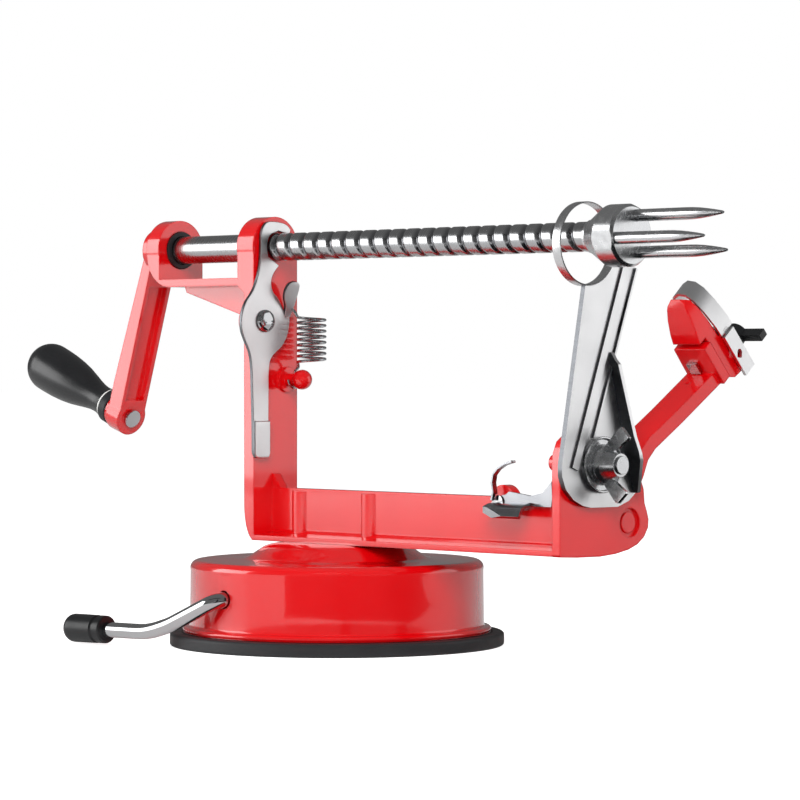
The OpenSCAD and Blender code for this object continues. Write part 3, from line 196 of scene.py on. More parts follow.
def bake(piece):
    """Replaces a piece's mesh by what its modifiers make of it."""
    done = evaluated_mesh(piece)
    piece.modifiers.clear()
    old, name = piece.data, piece.data.name
    piece.data = done
    bpy.data.meshes.remove(old)
    done.name = name


def packed(name, bm):
    """Turns a bmesh into a plain mesh, and frees it."""
    mesh = bpy.data.meshes.new(name)
    bm.to_mesh(mesh)
    bm.free()
    return mesh


def finish_mesh(name, bm, material, body, nodes=(), smooth=30):
    """Makes a piece of a bmesh, gives it its finish and its body, and hides the nodes it stands for."""
    bmesh.ops.remove_doubles(bm, verts=bm.verts, dist=1e-7)
    mesh = packed(name, bm)
    mesh.materials.clear()
    mesh.materials.append(material)
    piece = link(bpy.data.objects.new(name, mesh))
    shade_evenly(piece, smooth)
    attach(piece, body)
    if nodes:
        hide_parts(*nodes)
    return piece


def turned(profile, steps=96):
    """Spins a closed outline of (radius, height) pairs in millimetres about Z."""
    bm = bmesh.new()
    rings = []
    for r, z in profile:
        if r < 1e-6:
            rings.append([bm.verts.new((0, 0, z * MM))])
        else:
            rings.append([bm.verts.new((r * MM * math.cos(math.tau * k / steps),
                                        r * MM * math.sin(math.tau * k / steps), z * MM))
                          for k in range(steps)])
    for low, high in zip(rings, rings[1:] + rings[:1]):
        if len(low) == 1 and len(high) == 1:
            continue
        for k in range(steps):
            n = (k + 1) % steps
            if len(low) == 1:
                bm.faces.new((low[0], high[n], high[k]))
            elif len(high) == 1:
                bm.faces.new((low[k], low[n], high[0]))
            else:
                bm.faces.new((low[k], low[n], high[n], high[k]))
    bmesh.ops.recalc_face_normals(bm, faces=bm.faces)
    return bm


def round_corner(cx, cy, r, a0, a1, steps=6):
    """Points of an arc, in degrees, that rounds a corner of an outline."""
    return [(cx + r * math.cos(math.radians(a0 + (a1 - a0) * i / steps)),
             cy + r * math.sin(math.radians(a0 + (a1 - a0) * i / steps))) for i in range(steps + 1)]


def textured(tree, scale_mm, detail=2.0, stretch=(1, 1, 1)):
    """Noise on object coordinates whose grain has a real size in millimetres."""
    where = add_node(tree, "ShaderNodeTexCoord")
    sized = add_node(tree, "ShaderNodeMapping", Vector=where.outputs["Object"],
                     Scale=[s * 1000 / scale_mm for s in stretch])
    return add_node(tree, "ShaderNodeTexNoise", Vector=sized.outputs[0], Scale=1.0, Detail=detail)


def shaded(tree, colour, rough, bump=None, height=0.0, soft_edge=0.0, **settings):
    """Closes a material: principled shader with colour, roughness and bump, and its output."""
    shader = add_node(tree, "ShaderNodeBsdfPrincipled", Base_Color=colour, Roughness=rough, **settings)
    if bump is not None:
        relief = add_node(tree, "ShaderNodeBump", Height=bump, Distance=height * MM, Strength=1.0)
        if soft_edge:
            rounded = add_node(tree, "ShaderNodeBevel", {"samples": 6}, Radius=soft_edge * MM)
            tree.links.new(rounded.outputs[0], relief.inputs["Normal"])
        tree.links.new(relief.outputs[0], shader.inputs["Normal"])
    add_node(tree, "ShaderNodeOutputMaterial", Surface=shader.outputs[0])
    return shader


def varied(tree, noise, dark, light):
    """Mixes two colours by a noise, for the slight unevenness of a real finish."""
    return add_node(tree, "ShaderNodeMix", {"data_type": "RGBA"}, _0=noise.outputs[0], _6=linear(dark),
                    _7=linear(light)).outputs[2]


def spread(tree, noise, low, high):
    return add_node(tree, "ShaderNodeMapRange", Value=noise.outputs[0], From_Min=0.3, From_Max=0.7,
                    To_Min=low, To_Max=high).outputs[0]


def plain_finish(name, patch, dark, light, rough, grain, relief, **settings):
    """A finish with patches of slightly uneven colour and gloss, and a fine relief; sizes in mm."""
    material, tree = new_material(name)
    uneven = textured(tree, patch)
    shaded(tree, varied(tree, uneven, dark, light), spread(tree, uneven, *rough),
           textured(tree, grain).outputs[0], relief, **settings)
    return material


# natural rubber with carbon black, compression moulded: matt, faintly grainy, slightly bloomed
rubber = plain_finish("moulded_black_rubber", 9.0, "#232426", "#303133", (0.5, 0.62), 0.5, 0.05, IOR=1.5)

pad = turned([(0, 0.3), (30, 0.3), (38, 0)] + round_corner(49.2, 0.8, 0.8, -90, 0)
             + round_corner(49.0, 3.0, 1.0, 0, 90) + [(46.6, 4.0), (45.9, 3.4), (39, 3.4), (38.6, 2.6),
             (9.4, 2.6), (9.4, 7), (0, 7)])
finish_mesh("pad_moulding", pad, rubber, "frame", ["suction_pad"])


# Base cup: zinc die casting in thick glossy red enamel, turned in form, with a rolled rim on the pad,
# a flat shoulder and a stepped conical neck that carries the frame. The lever's journal goes in at
# the front.

def red_enamel(name, coat=1.0):
    """Stoved red enamel over a die casting: a deep clear gloss with a faint ripple of flow."""
    material, tree = new_material(name)
    flow = textured(tree, 14.0)
    ripple = textured(tree, 5.0, detail=1.0)
    shaded(tree, varied(tree, flow, "#DC040B", "#E8060E"), spread(tree, flow, 0.16, 0.24),
           ripple.outputs[0], 0.012, soft_edge=0.8, IOR=1.5, Coat_Weight=coat, Coat_Roughness=0.04,
           Coat_IOR=1.6)
    return material


enamel = red_enamel("red_stoved_enamel")

cup_profile = ([(40.9, 4.05), (46.0, 4.05)] + round_corner(45.3, 4.9, 0.85, -60, 90)
               + [(44.3, 5.9), (44.0, 6.5), (43.9, 14.0), (43.8, 22.4)]
               + round_corner(41.5, 23.1, 2.4, 0, 90) + [(36, 25.55), (29.5, 25.6), (27.6, 25.9)]
               + [(26.6, 26.3), (24.0, 28.0), (22.2, 29.2), (21.4, 29.6), (20.4, 29.9), (18.4, 30.3),
                  (15.8, 30.4), (0, 30.4), (0, 22.9), (39.0, 22.9), (41.4, 20.5), (41.4, 5.0)])
cup = turned(cup_profile, steps=128)
cup_casting = finish_mesh("cup_casting", cup, enamel, "frame", ["base_cup"])


def turned_to(axis):
    """The turn that brings Z, the axis of what turned() makes, onto another axis."""
    return Vector(axis).to_track_quat("Z", "Y").to_matrix().to_4x4()


def cut_round_hole(piece, at, axis, radius, length):
    """Bores a round hole through a piece; sizes in millimetres."""
    bm = bmesh.new()
    bmesh.ops.create_cone(bm, cap_ends=True, segments=48, radius1=radius * MM, radius2=radius * MM,
                          depth=length * MM)
    bm.transform(Matrix.Translation(Vector(at) * MM) @ turned_to(axis))
    mesh = packed("drill", bm)
    drill = link(bpy.data.objects.new("drill", mesh))
    cutter = piece.modifiers.new("hole", "BOOLEAN")
    cutter.object = drill
    cutter.solver = "EXACT"
    cutter.operation = "DIFFERENCE"
    bake(piece)
    shade_evenly(piece, 30)
    bpy.data.objects.remove(drill)
    bpy.data.meshes.remove(mesh)
    return piece


journal_x, journal_z, journal_hole_r = -1.6, 15.3, 2.65
cut_round_hole(cup_casting, (journal_x, -43, journal_z), (0, 1, 0), journal_hole_r, 8)


# Rounded castings and small metal pieces: each takes the solid's own mesh, welded, with its edges
# rounded to the radius that a casting, a stamping or a turned piece has.

def plain_copy(node):
    """A welded copy of a solid, with its flat faces whole again."""
    bm = bmesh.new()
    bm.from_mesh(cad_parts[node].data)
    bmesh.ops.remove_doubles(bm, verts=bm.verts, dist=2e-6)
    bmesh.ops.dissolve_limit(bm, angle_limit=math.radians(0.6), verts=bm.verts, edges=bm.edges)
    return bm


def eased(name, node, material, body, edge, segments=3, smooth=35):
    """A piece with the solid's shape and eased edges; edge is the radius in millimetres."""
    piece = link(bpy.data.objects.new(name, packed(name, plain_copy(node))))
    if edge:
        ease = piece.modifiers.new("ease", "BEVEL")
        ease.width = edge * MM
        ease.segments = segments
        ease.limit_method = "ANGLE"
        ease.angle_limit = math.radians(28)
        ease.use_clamp_overlap = True
        bake(piece)
    piece.data.materials.clear()
    piece.data.materials.append(material)
    shade_evenly(piece, smooth)
    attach(piece, body)
    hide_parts(node)
    return piece


# Suction lever: a bent steel rod, polished and chromed, that goes through the cup and carries an
# eccentric pin inside. A push-on plastic cap covers its end, and a spring clip holds it in the cup.

def chrome_finish(name, light="#CFD0D2", dark="#C2C3C5", rough=(0.04, 0.09), scuff=6.0):
    """Nickel-chrome plate: mirror bright, a little uneven where the steel under it was buffed."""
    return plain_finish(name, scuff, dark, light, rough, 2.5, 0.004, Metallic=1.0)


chrome = chrome_finish("bright_chrome_plate")


def tube_tree(name):
    """Sweeps a round wire along a curve; inputs are the wire's radius, its sides and its material."""
    tree = bpy.data.node_groups.new(name, "GeometryNodeTree")
    face = tree.interface
    face.new_socket("Path", in_out="INPUT", socket_type="NodeSocketGeometry")
    radius = face.new_socket("Wire radius", in_out="INPUT", socket_type="NodeSocketFloat")
    sides = face.new_socket("Sides", in_out="INPUT", socket_type="NodeSocketInt")
    paint = face.new_socket("Finish", in_out="INPUT", socket_type="NodeSocketMaterial")
    face.new_socket("Wire", in_out="OUTPUT", socket_type="NodeSocketGeometry")
    given = add_node(tree, "NodeGroupInput")
    ring = add_node(tree, "GeometryNodeCurvePrimitiveCircle", Radius=given.outputs[1],
                    Resolution=given.outputs[2])
    swept = add_node(tree, "GeometryNodeCurveToMesh", Curve=given.outputs[0],
                     Profile_Curve=ring.outputs[0], Fill_Caps=True)
    smooth = add_node(tree, "GeometryNodeSetShadeSmooth", Geometry=swept.outputs[0])
    real = add_node(tree, "GeometryNodeRealizeInstances", Geometry=smooth.outputs[0])
    done = add_node(tree, "GeometryNodeSetMaterial", Geometry=real.outputs[0], Material=given.outputs[3])
    add_node(tree, "NodeGroupOutput", _0=done.outputs[0])
    return tree, radius.identifier, sides.identifier, paint.identifier


wire_tree, wire_radius, wire_sides, wire_paint = tube_tree("round_wire")


def wire_mesh(name, points, radius, material, sides=16):
    """Geometry Nodes sweep of a round wire along points in millimetres, as a plain mesh."""
    curve = bpy.data.curves.new(name, "CURVE")
    curve.dimensions = "3D"
    line = curve.splines.new("POLY")
    line.points.add(len(points) - 1)
    for spot, p in zip(line.points, points):
        spot.co = (*(Vector(p) * MM), 1)
    holder = link(bpy.data.objects.new(name + "_path", curve))
    sweep = holder.modifiers.new("sweep", "NODES")
    sweep.node_group = wire_tree
    sweep[wire_radius] = radius * MM
    sweep[wire_sides] = sides
    sweep[wire_paint] = material
    mesh = evaluated_mesh(holder)
    bpy.data.objects.remove(holder)
    bpy.data.curves.remove(curve)
    mesh.name = name
    return mesh


def bent(points, radii, steps=8):
    """A path of straight lengths joined by arcs of given bend radii, in millimetres."""
    pts = [Vector(p) for p in points]
    out = [pts[0]]
    for a, b, c, radius in zip(pts, pts[1:], pts[2:], radii):
        u, v = (a - b).normalized(), (c - b).normalized()
        half = u.angle(v) / 2
        reach = radius / math.tan(half)
        centre = b + (u + v).normalized() * (radius / math.sin(half))
        start, stop = b + u * reach - centre, b + v * reach - centre
        turn = start.angle(stop)
        for i in range(steps + 1):
            t = i / steps
            out.append(centre + (math.sin((1 - t) * turn) * start
                                 + math.sin(t * turn) * stop) / math.sin(turn))
    return out + [pts[-1]]


# the eccentric pin and the journal are the solid's own; from there out the rod is swept
rod_r, rod_from_y, journal_cut_y = 2.3, -38, -38.5
elbow = Vector((journal_x, -46.8, journal_z))
knee, heel, tip = [elbow + Vector(p) for p in ((-17.2, -3, -8), (-25, -4.4, -10.4), (-53.8, -7.2, -10.6))]
rod_path = bent([(journal_x, rod_from_y, journal_z), elbow, knee, heel, tip], (4.2, 26, 26))
rod_mesh = wire_mesh("lever_rod", rod_path, rod_r, chrome, sides=24)
rod = plain_copy("suction_lever")
bmesh.ops.bisect_plane(rod, geom=rod.verts[:] + rod.edges[:] + rod.faces[:],
                       plane_co=(0, journal_cut_y * MM, 0), plane_no=(0, -1, 0), clear_outer=True)
bmesh.ops.holes_fill(rod, edges=[e for e in rod.edges if e.is_boundary])
rod.from_mesh(rod_mesh)
bpy.data.meshes.remove(rod_mesh)
finish_mesh("lever_bent_rod", rod, chrome, "lever", ["suction_lever"])

# low-density polyethylene cap, dipped and pushed on: soft sheen with a shallow moulding grain
black_plastic = plain_finish("black_moulded_plastic", 5.0, "#121314", "#1B1C1E", (0.3, 0.42), 0.8, 0.015,
                             IOR=1.5)

cap = turned([(2.3, -11.8), (3.5, -11.8)] + round_corner(3.6, -11.2, 0.55, -60, 0)
             + [(4.15, -9.2), (3.75, -8.8), (3.75, -8.2), (4.2, -7.8), (4.25, 0.2)]
             + round_corner(1.4, 1.35, 2.85, 0, 90, 8) + [(0, 4.2), (0, 0), (2.3, 0)], steps=48)
cap.transform(Matrix.Translation(tip * MM) @ turned_to((tip - heel).normalized()))
finish_mesh("lever_end_cap", cap, black_plastic, "lever", ["lever_cap"])

# bright and blued steel of the pieces inside the cup
steel = plain_finish("bright_machined_steel", 3.0, "#B9BBBE", "#CFD1D3", (0.2, 0.32), 0.6, 0.01,
                     Metallic=1.0)
blued = plain_finish("blued_spring_steel", 3.0, "#3A3C40", "#4A4C50", (0.25, 0.4), 0.8, 0.008,
                     Metallic=1.0)
eased("journal_clip", "lever_clip", blued, "lever", 0.15)
eased("pad_stud", "suction_stud", steel, "stud", 0.3)
eased("frame_screws", "base_screws", steel, "frame", 0.2)


# Frame: one aluminium die casting under red enamel: the beam with its web, the post, the two ears
# and the end plate. Its outer edges are rounded, and two screws hold it on the cup.

eased("frame_body", "frame_casting", enamel, "frame", 0.8)

# a small cast gusset where the web meets the post
fin_outline = ((-27.5, 45.6), (-23.4, 45.6), (-23.6, 46.6), (-26.6, 50.4), (-27.5, 50.6))
fin_half_t = 1.4
fin = bmesh.new()
near, far = [[fin.verts.new((x * MM, y * MM, z * MM)) for x, z in fin_outline]
             for y in (-fin_half_t, fin_half_t)]
for k in range(len(fin_outline)):
    n = (k + 1) % len(fin_outline)
    fin.faces.new((near[k], near[n], far[n], far[k]))
fin.faces.new(near[::-1])
fin.faces.new(far)
bmesh.ops.recalc_face_normals(fin, faces=fin.faces)
finish_mesh("root_fin", fin, enamel, "frame")


# Shaft: a ground steel bar that carries one rolled thread of 6.1 mm lead up to the fork. The outer
# ear holds it in a black bush.

# cold-drawn steel, ground and bright nickel plated: brushed round the bar; the thread's flute is painted
# darker grey, as painted shade in the groove
bar_steel, tree = new_material("ground_bar_steel")
turned_lines = textured(tree, 0.35, detail=1.0, stretch=(1, 0.02, 0.02))
blotch = textured(tree, 8.0)
flute_depth = add_node(tree, "ShaderNodeAttribute", {"attribute_name": "groove"})
polished = varied(tree, blotch, "#B4B5B7", "#C8C9CA")
# painted shade: the bar's colour turns grey where the flute is deepest
flute_shaded = add_node(tree, "ShaderNodeMix", {"data_type": "RGBA"}, _0=flute_depth.outputs["Fac"], _6=polished,
                 _7=linear("#8C8D90")).outputs[2]
shaded(tree, flute_shaded, spread(tree, turned_lines, 0.2, 0.3), turned_lines.outputs[0], 0.006, Metallic=1.0)

SHAFT_Z = 119.3
ALONG_SHAFT = (1, 0, 0)
LEAD = 6.1
thread_start, thread_end, run_in = -32.7, 103.1, 2.0
crest, depth, dent_half = 4.2, 0.75, math.radians(78)


def thread_radius(x, a):
    """The bar's radius at a place along it and an angle: a rounded flute that winds round it."""
    run = min(1.0, max(0.0, (x - thread_start) / run_in))
    lag = (a - math.tau * (x - thread_start) / LEAD + math.pi) % math.tau - math.pi
    if abs(lag) > dent_half:
        return crest
    return crest - depth * run * (1 + math.cos(math.pi * lag / dent_half)) / 2


bar = bmesh.new()
groove = bar.verts.layers.float.new("groove")
bar_end, bar_r, chamfer, slice_l, sides = -81.8, 4.25, 0.3, 0.38, 64
slices = int((thread_end - thread_start) / slice_l)
spots = [bar_end, -81.4, -60, -36, thread_start]
spots += [thread_start + slice_l * i for i in range(1, slices)] + [thread_end]
rings = []
for x in spots:
    ring = []
    for k in range(sides):
        a = math.tau * k / sides
        r = bar_r - chamfer if x == bar_end else bar_r if x < thread_start else thread_radius(x, a)
        ring.append(bar.verts.new((x * MM, r * MM * math.cos(a), (SHAFT_Z + r * math.sin(a)) * MM)))
        # depth of the flute at each vertex, which the bar's material uses for its painted shade
        ring[-1][groove] = min(1.0, (crest - r) / depth * 1.25) if x > thread_start else 0.0
    rings.append(ring)
for low, high in zip(rings, rings[1:]):
    for k in range(sides):
        n = (k + 1) % sides
        bar.faces.new((low[k], low[n], high[n], high[k]))
bar.faces.new(rings[0][::-1])
bar.faces.new(rings[-1])
bmesh.ops.recalc_face_normals(bar, faces=bar.faces)
finish_mesh("threaded_bar", bar, bar_steel, "shaft", ["drive_shaft"], smooth=50)

# acetal bush, injection moulded: dull black
bush_plastic = plain_finish("black_acetal", 4.0, "#1E1F21", "#2A2B2D", (0.45, 0.55), 0.7, 0.02, IOR=1.48)
eased("ear_bush", "outer_bush", bush_plastic, "bush", 0.25)


# Crank and grip: a channelled red die casting on the shaft, a riveted spindle with a bright domed
# head, a black collar, a pale washer and a hard black pear-shaped grip that turns on the spindle.

eased("crank_casting", "crank_arm", enamel, "shaft", 0.7)
eased("spindle_rivet", "grip_bolt", chrome, "shaft", 0.45)
eased("collar", "grip_ferrule", bush_plastic, "grip", 0.5)

white_plastic = plain_finish("white_nylon_washer", 3.0, "#E2E2DF", "#EFEFEC", (0.3, 0.4), 0.8, 0.01,
                             IOR=1.52)
eased("neck_washer", "grip_ring", white_plastic, "grip", 0.2)

# the crank leans out from the shaft, and the spindle rises from the crank's end
lean, rise = math.radians(18), math.radians(21.5)
crank_x, crank_reach, neck_at = -78.3, 55.5, 11.7
spindle = Vector((crank_x - crank_reach * math.sin(lean), 0, SHAFT_Z - crank_reach * math.cos(lean)))
outward = Vector((-math.cos(rise), 0, math.sin(rise)))
knob = [(0, 8.2), (2.45, 8.2), (2.45, 0.0), (4.7, 0.0), (4.9, 0.25), (4.75, 1.2), (4.5, 2.8), (4.45, 4.4),
        (4.62, 6.6), (5.15, 9.4), (5.95, 12.8), (6.8, 16.6), (7.4, 20.6), (7.75, 24.6), (7.88, 28.4)]
grip = turned(knob + round_corner(0, 31.6, 7.9, 0, 90, 14), steps=64)
grip.transform(Matrix.Translation((spindle + outward * neck_at) * MM) @ turned_to(outward))

# phenolic moulding, polished: black with a broad soft highlight
phenolic = plain_finish("black_phenolic_moulding", 7.0, "#141517", "#1E1F21", (0.26, 0.34), 1.2, 0.012,
                        IOR=1.6)
finish_mesh("grip_moulding", grip, phenolic, "grip", ["handle_grip"], smooth=40)


# Fork: a turned and chromed steel hub pressed on the shaft's end, with three ground prongs pressed
# into its face that hold the fruit.

satin = chrome_finish("satin_plated_steel", "#E9EAEB", "#D2D3D5", (0.2, 0.3), scuff=2.0)
eased("fork_boss", "fork_hub", satin, "shaft", 0.35)


def unpacked(*meshes):
    """Moves plain meshes together into one bmesh."""
    bm = bmesh.new()
    for mesh in meshes:
        bm.from_mesh(mesh)
        bpy.data.meshes.remove(mesh)
    return bm


def prong_tree():
    """Sets one prong a number of times round a circle; inputs are the count, radius and first angle."""
    tree = bpy.data.node_groups.new("prong_circle", "GeometryNodeTree")
    face = tree.interface
    face.new_socket("Prong", in_out="INPUT", socket_type="NodeSocketGeometry")
    names = [face.new_socket(n, in_out="INPUT", socket_type=t).identifier for n, t in
             (("Count", "NodeSocketInt"), ("Circle radius", "NodeSocketFloat"),
              ("First angle", "NodeSocketFloat"), ("Finish", "NodeSocketMaterial"))]
    face.new_socket("Prongs", in_out="OUTPUT", socket_type="NodeSocketGeometry")
    given = add_node(tree, "NodeGroupInput")
    line = add_node(tree, "GeometryNodeMeshLine", Count=given.outputs[1], Offset=(0, 0, 0))
    order = add_node(tree, "GeometryNodeInputIndex")
    step = add_node(tree, "ShaderNodeMath", {"operation": "DIVIDE"}, _0=math.tau, _1=given.outputs[1])
    turn = add_node(tree, "ShaderNodeMath", {"operation": "MULTIPLY_ADD"}, _0=order.outputs[0],
                    _1=step.outputs[0], _2=given.outputs[3])
    across = add_node(tree, "ShaderNodeMath", {"operation": "COSINE"}, _0=turn.outputs[0])
    upward = add_node(tree, "ShaderNodeMath", {"operation": "SINE"}, _0=turn.outputs[0])
    spoke = add_node(tree, "ShaderNodeCombineXYZ", Y=across.outputs[0], Z=upward.outputs[0])
    place = add_node(tree, "ShaderNodeVectorMath", {"operation": "SCALE"}, _0=spoke.outputs[0],
                     Scale=given.outputs[2])
    spread_out = add_node(tree, "GeometryNodeSetPosition", Geometry=line.outputs[0],
                          Position=place.outputs[0])
    copies = add_node(tree, "GeometryNodeInstanceOnPoints", Points=spread_out.outputs[0],
                      Instance=given.outputs[0])
    real = add_node(tree, "GeometryNodeRealizeInstances", Geometry=copies.outputs[0])
    done = add_node(tree, "GeometryNodeSetMaterial", Geometry=real.outputs[0], Material=given.outputs[4])
    add_node(tree, "NodeGroupOutput", _0=done.outputs[0])
    return tree, names


hub_l, prong_count, prong_circle_r, first_prong = 14.7, 3, 5.9, math.radians(189)
spike = turned([(0, -8.9), (1.7, -8.9), (1.7, 17.5), (1.66, 20.0), (1.5, 22.6), (1.22, 25.2), (0.9, 27.6),
                (0.6, 29.6), (0.42, 30.6), (0.22, 31.0), (0, 31.1)], steps=28)
spike.transform(turned_to(ALONG_SHAFT))
spike_mesh = packed("prong", spike)
spike_mesh.shade_smooth()
holder = link(bpy.data.objects.new("prong", spike_mesh))
circle = holder.modifiers.new("circle", "NODES")
circle.node_group, (count_in, radius_in, angle_in, paint_in) = prong_tree()
circle[count_in] = prong_count
circle[radius_in] = prong_circle_r * MM
circle[angle_in] = first_prong
circle[paint_in] = satin
prongs = unpacked(evaluated_mesh(holder))
bpy.data.objects.remove(holder)
bpy.data.meshes.remove(spike_mesh)
prongs.transform(Matrix.Translation(Vector((thread_end + hub_l, 0, SHAFT_Z)) * MM))
finish_mesh("three_prongs", prongs, satin, "shaft", ["fork_prongs"], smooth=40)


# Thumb latch: stamped steel plate, chromed, that turns on a rivet in the post. Its jaw holds the
# thread, a tongue bent out of the disc holds the spring, and its tail ends in a thumb tab.

def between(a, b, c, d, t):
    """The place at a share t of the way from b to c, on a smooth curve through a, b, c and d."""
    return 0.5 * (2 * b + (c - a) * t + (2 * a - 5 * b + 4 * c - d) * t * t
                  + (3 * b - a - 3 * c + d) * t ** 3)


def rounded_outline(points, corners=(), steps=5):
    """A closed outline made smooth through its points, with sharp corners kept at some of them."""
    n = len(points)
    pts = [Vector((*p, 0)) for p in points]
    out = []
    for i in range(n):
        a, b, c, d = pts[(i - 1) % n], pts[i], pts[(i + 1) % n], pts[(i + 2) % n]
        if i in corners:
            a = 2 * b - c
        if (i + 1) % n in corners:
            d = 2 * c - b
        out += [between(a, b, c, d, k / steps).xy for k in range(steps)]
    return out


def circle_outline(cx, cy, r, steps=40):
    return [(cx + r * math.cos(math.tau * i / steps), cy + r * math.sin(math.tau * i / steps))
            for i in range(steps)]


def stamped(loops, thickness, edge, place):
    """A flat plate cut to closed loops in millimetres, with rounded edges, put in place by a matrix."""
    curve = bpy.data.curves.new("blank", "CURVE")
    curve.dimensions = "2D"
    curve.fill_mode = "BOTH"
    curve.extrude = (thickness / 2 - edge) * MM
    curve.bevel_depth = edge * MM
    curve.bevel_resolution = 2
    curve.offset = -edge * MM
    for loop in loops:
        line = curve.splines.new("POLY")
        line.points.add(len(loop) - 1)
        for spot, (u, v) in zip(line.points, loop):
            spot.co = (u * MM, v * MM, 0, 1)
        line.use_cyclic_u = True
    holder = link(bpy.data.objects.new("blank", curve))
    bm = unpacked(evaluated_mesh(holder))
    bpy.data.objects.remove(holder)
    bpy.data.curves.remove(curve)
    bmesh.ops.remove_doubles(bm, verts=bm.verts, dist=1e-6)
    bmesh.ops.recalc_face_normals(bm, faces=bm.faces)
    bm.transform(place)
    return bm


def facing_x(x, z, tilt=0.0):
    """Puts a plate drawn in Y and Z at a place in millimetres, tilted about Y in degrees."""
    axes = Matrix(((0, 0, 1, 0), (1, 0, 0, 0), (0, 1, 0, 0), (0, 0, 0, 1)))
    return Matrix.Translation(Vector((x, 0, z)) * MM) @ Matrix.Rotation(math.radians(tilt), 4, "Y") @ axes


# stamped plate under chrome: bright, with the faint pull marks of the strip it was cut from
plate_chrome = chrome_finish("chromed_stamping", "#FBFBFC", "#F2F2F3", (0.32, 0.4), scuff=9.0)

latch_outline = [(0.2, -5.6), (-4.2, -3), (-4.7, 0), (-3.6, 3.4), (0, 5), (4.4, 4), (5, 5.4), (3.6, 6.7),
                 (1, 7.5), (-3.6, 7.7), (-5.8, 6.6), (-7, 4), (-7.2, 0), (-7.5, -4.6), (-8.5, -9),
                 (-10.4, -13.2), (-13.4, -17), (-15, -21), (-15, -25), (-13.6, -28.4), (-11.7, -32),
                 (-10.9, -36.5), (-10.6, -44), (-10.3, -53), (-10.2, -62.2), (-9.2, -63.6), (-5.2, -63.6),
                 (-4.3, -62.2), (-4.2, -53), (-4.1, -44), (-3.9, -36.5), (-2.6, -33.2), (1.2, -30.2),
                 (3.5, -27), (4.5, -22.9), (4.3, -20.4), (2.8, -21.4), (2.4, -19.8), (0.8, -17),
                 (-0.2, -15.4), (-2.2, -13.6), (-3, -11.4), (-2.8, -9.4), (-1.6, -7.4)]
latch_corners = [0, 1, 4, 5, 6, 24, 27, 36, 39]
tongue_outline = [(2.6, -1.2), (4.5, -0.8), (5.1, 4), (5.1, 9.6), (4.2, 11.3), (2.2, 11.7), (0.4, 10.9),
                  (-0.3, 8.6), (0.3, 6), (1.8, 3.4)]
tab_outline = [(-10.4, -52.8), (-10.4, -62.6), (-9.4, -63.9), (-5, -63.9), (-4, -62.6), (-4, -52.8)]
latch_x, tab_x, latch_rivet_y, latch_rivet_drop, rivet_hole_r = -26.4, -25.85, -5.6, 22.5, 2.25
rivet_hole = circle_outline(latch_rivet_y, -latch_rivet_drop, rivet_hole_r)
latch_parts = [
    stamped([rounded_outline(latch_outline, latch_corners), rivet_hole], 1.2, 0.22,
            facing_x(latch_x, SHAFT_Z)),
    stamped([rounded_outline(tongue_outline, [0, 1])], 1.1, 0.2, facing_x(latch_x, SHAFT_Z - 21.2, 24)),
    stamped([rounded_outline(tab_outline, [0, 1, 4, 5])], 1.5, 0.35, facing_x(tab_x, SHAFT_Z))]
latch = unpacked(*[packed("part", part) for part in latch_parts])


def shear_and_shade_edges(piece):
    """Darkens a plate's faces that don't face along X: duller cut-edge plate, with painted shade."""
    piece.data.materials.append(edge_shear_and_shade)
    for face in piece.data.polygons:
        # faces turned away from X take the darker finish: duller cut edges and painted shade
        if abs(face.normal.x) < 0.45:
            face.material_index = 1
    return piece


# cut edges of the strip: plated as well, but streaked and duller; the dark colour is also painted shade,
# on these edges and on any folded face that turns away from X
edge_shear_and_shade, tree = new_material("sheared_and_shaded_plate_edge")
streaks = textured(tree, 0.4, detail=1.0, stretch=(0.1, 1, 1))
shaded(tree, varied(tree, streaks, "#6E7074", "#84868A"), spread(tree, streaks, 0.3, 0.42),
       streaks.outputs[0], 0.008, Metallic=1.0)
shear_and_shade_edges(finish_mesh("latch_stamping", latch, plate_chrome, "latch", ["latch_lever"], smooth=35))

rivet_head = turned([(0, -4.3), (2.15, -4.3), (2.15, 0.02), (3.42, 0.02), (3.45, 0.4), (3.2, 0.85),
                     (2.7, 1.15), (1.8, 1.3), (0, 1.35)], steps=48)
rivet_place = Vector((-25.73, latch_rivet_y, SHAFT_Z - latch_rivet_drop))
rivet_head.transform(Matrix.Translation(rivet_place * MM) @ turned_to(ALONG_SHAFT))
finish_mesh("latch_rivet_head", rivet_head, chrome, "frame", ["latch_rivet"], smooth=40)

# oil-tempered spring wire: grey and bright, drawn lines too fine to see
spring_wire = plain_finish("drawn_spring_wire", 1.2, "#BEC0C3", "#D8DADC", (0.18, 0.3), 0.5, 0.006,
                           Metallic=1.0)


def coiled(start, radius, pitch, turns, first, axis, steps=24):
    """The points of a coil that climbs from start along its axis, X or Z; first is in degrees."""
    out = []
    for i in range(steps * turns + 1):
        a = math.radians(first) + math.tau * i / steps
        across, up, climb = radius * math.cos(a), radius * math.sin(a), pitch * i / steps
        out.append(start + Vector((climb, across, up) if axis == "X" else (across, up, climb)))
    return out


def flowing(points, steps):
    """A smooth open path through points, in the same units."""
    pts = [Vector(p) for p in points]
    ends = [2 * pts[0] - pts[1]] + pts + [2 * pts[-1] - pts[-2]]
    out = []
    for a, b, c, d in zip(ends, ends[1:], ends[2:], ends[3:]):
        out += [between(a, b, c, d, i / steps) for i in range(steps)]
    return out + [pts[-1]]


def wound_spring(name, path, wire_r, node):
    mesh = wire_mesh(name + "_wire", path, wire_r, spring_wire, sides=10)
    finish_mesh(name, unpacked(mesh), spring_wire, "frame", [node], smooth=60)


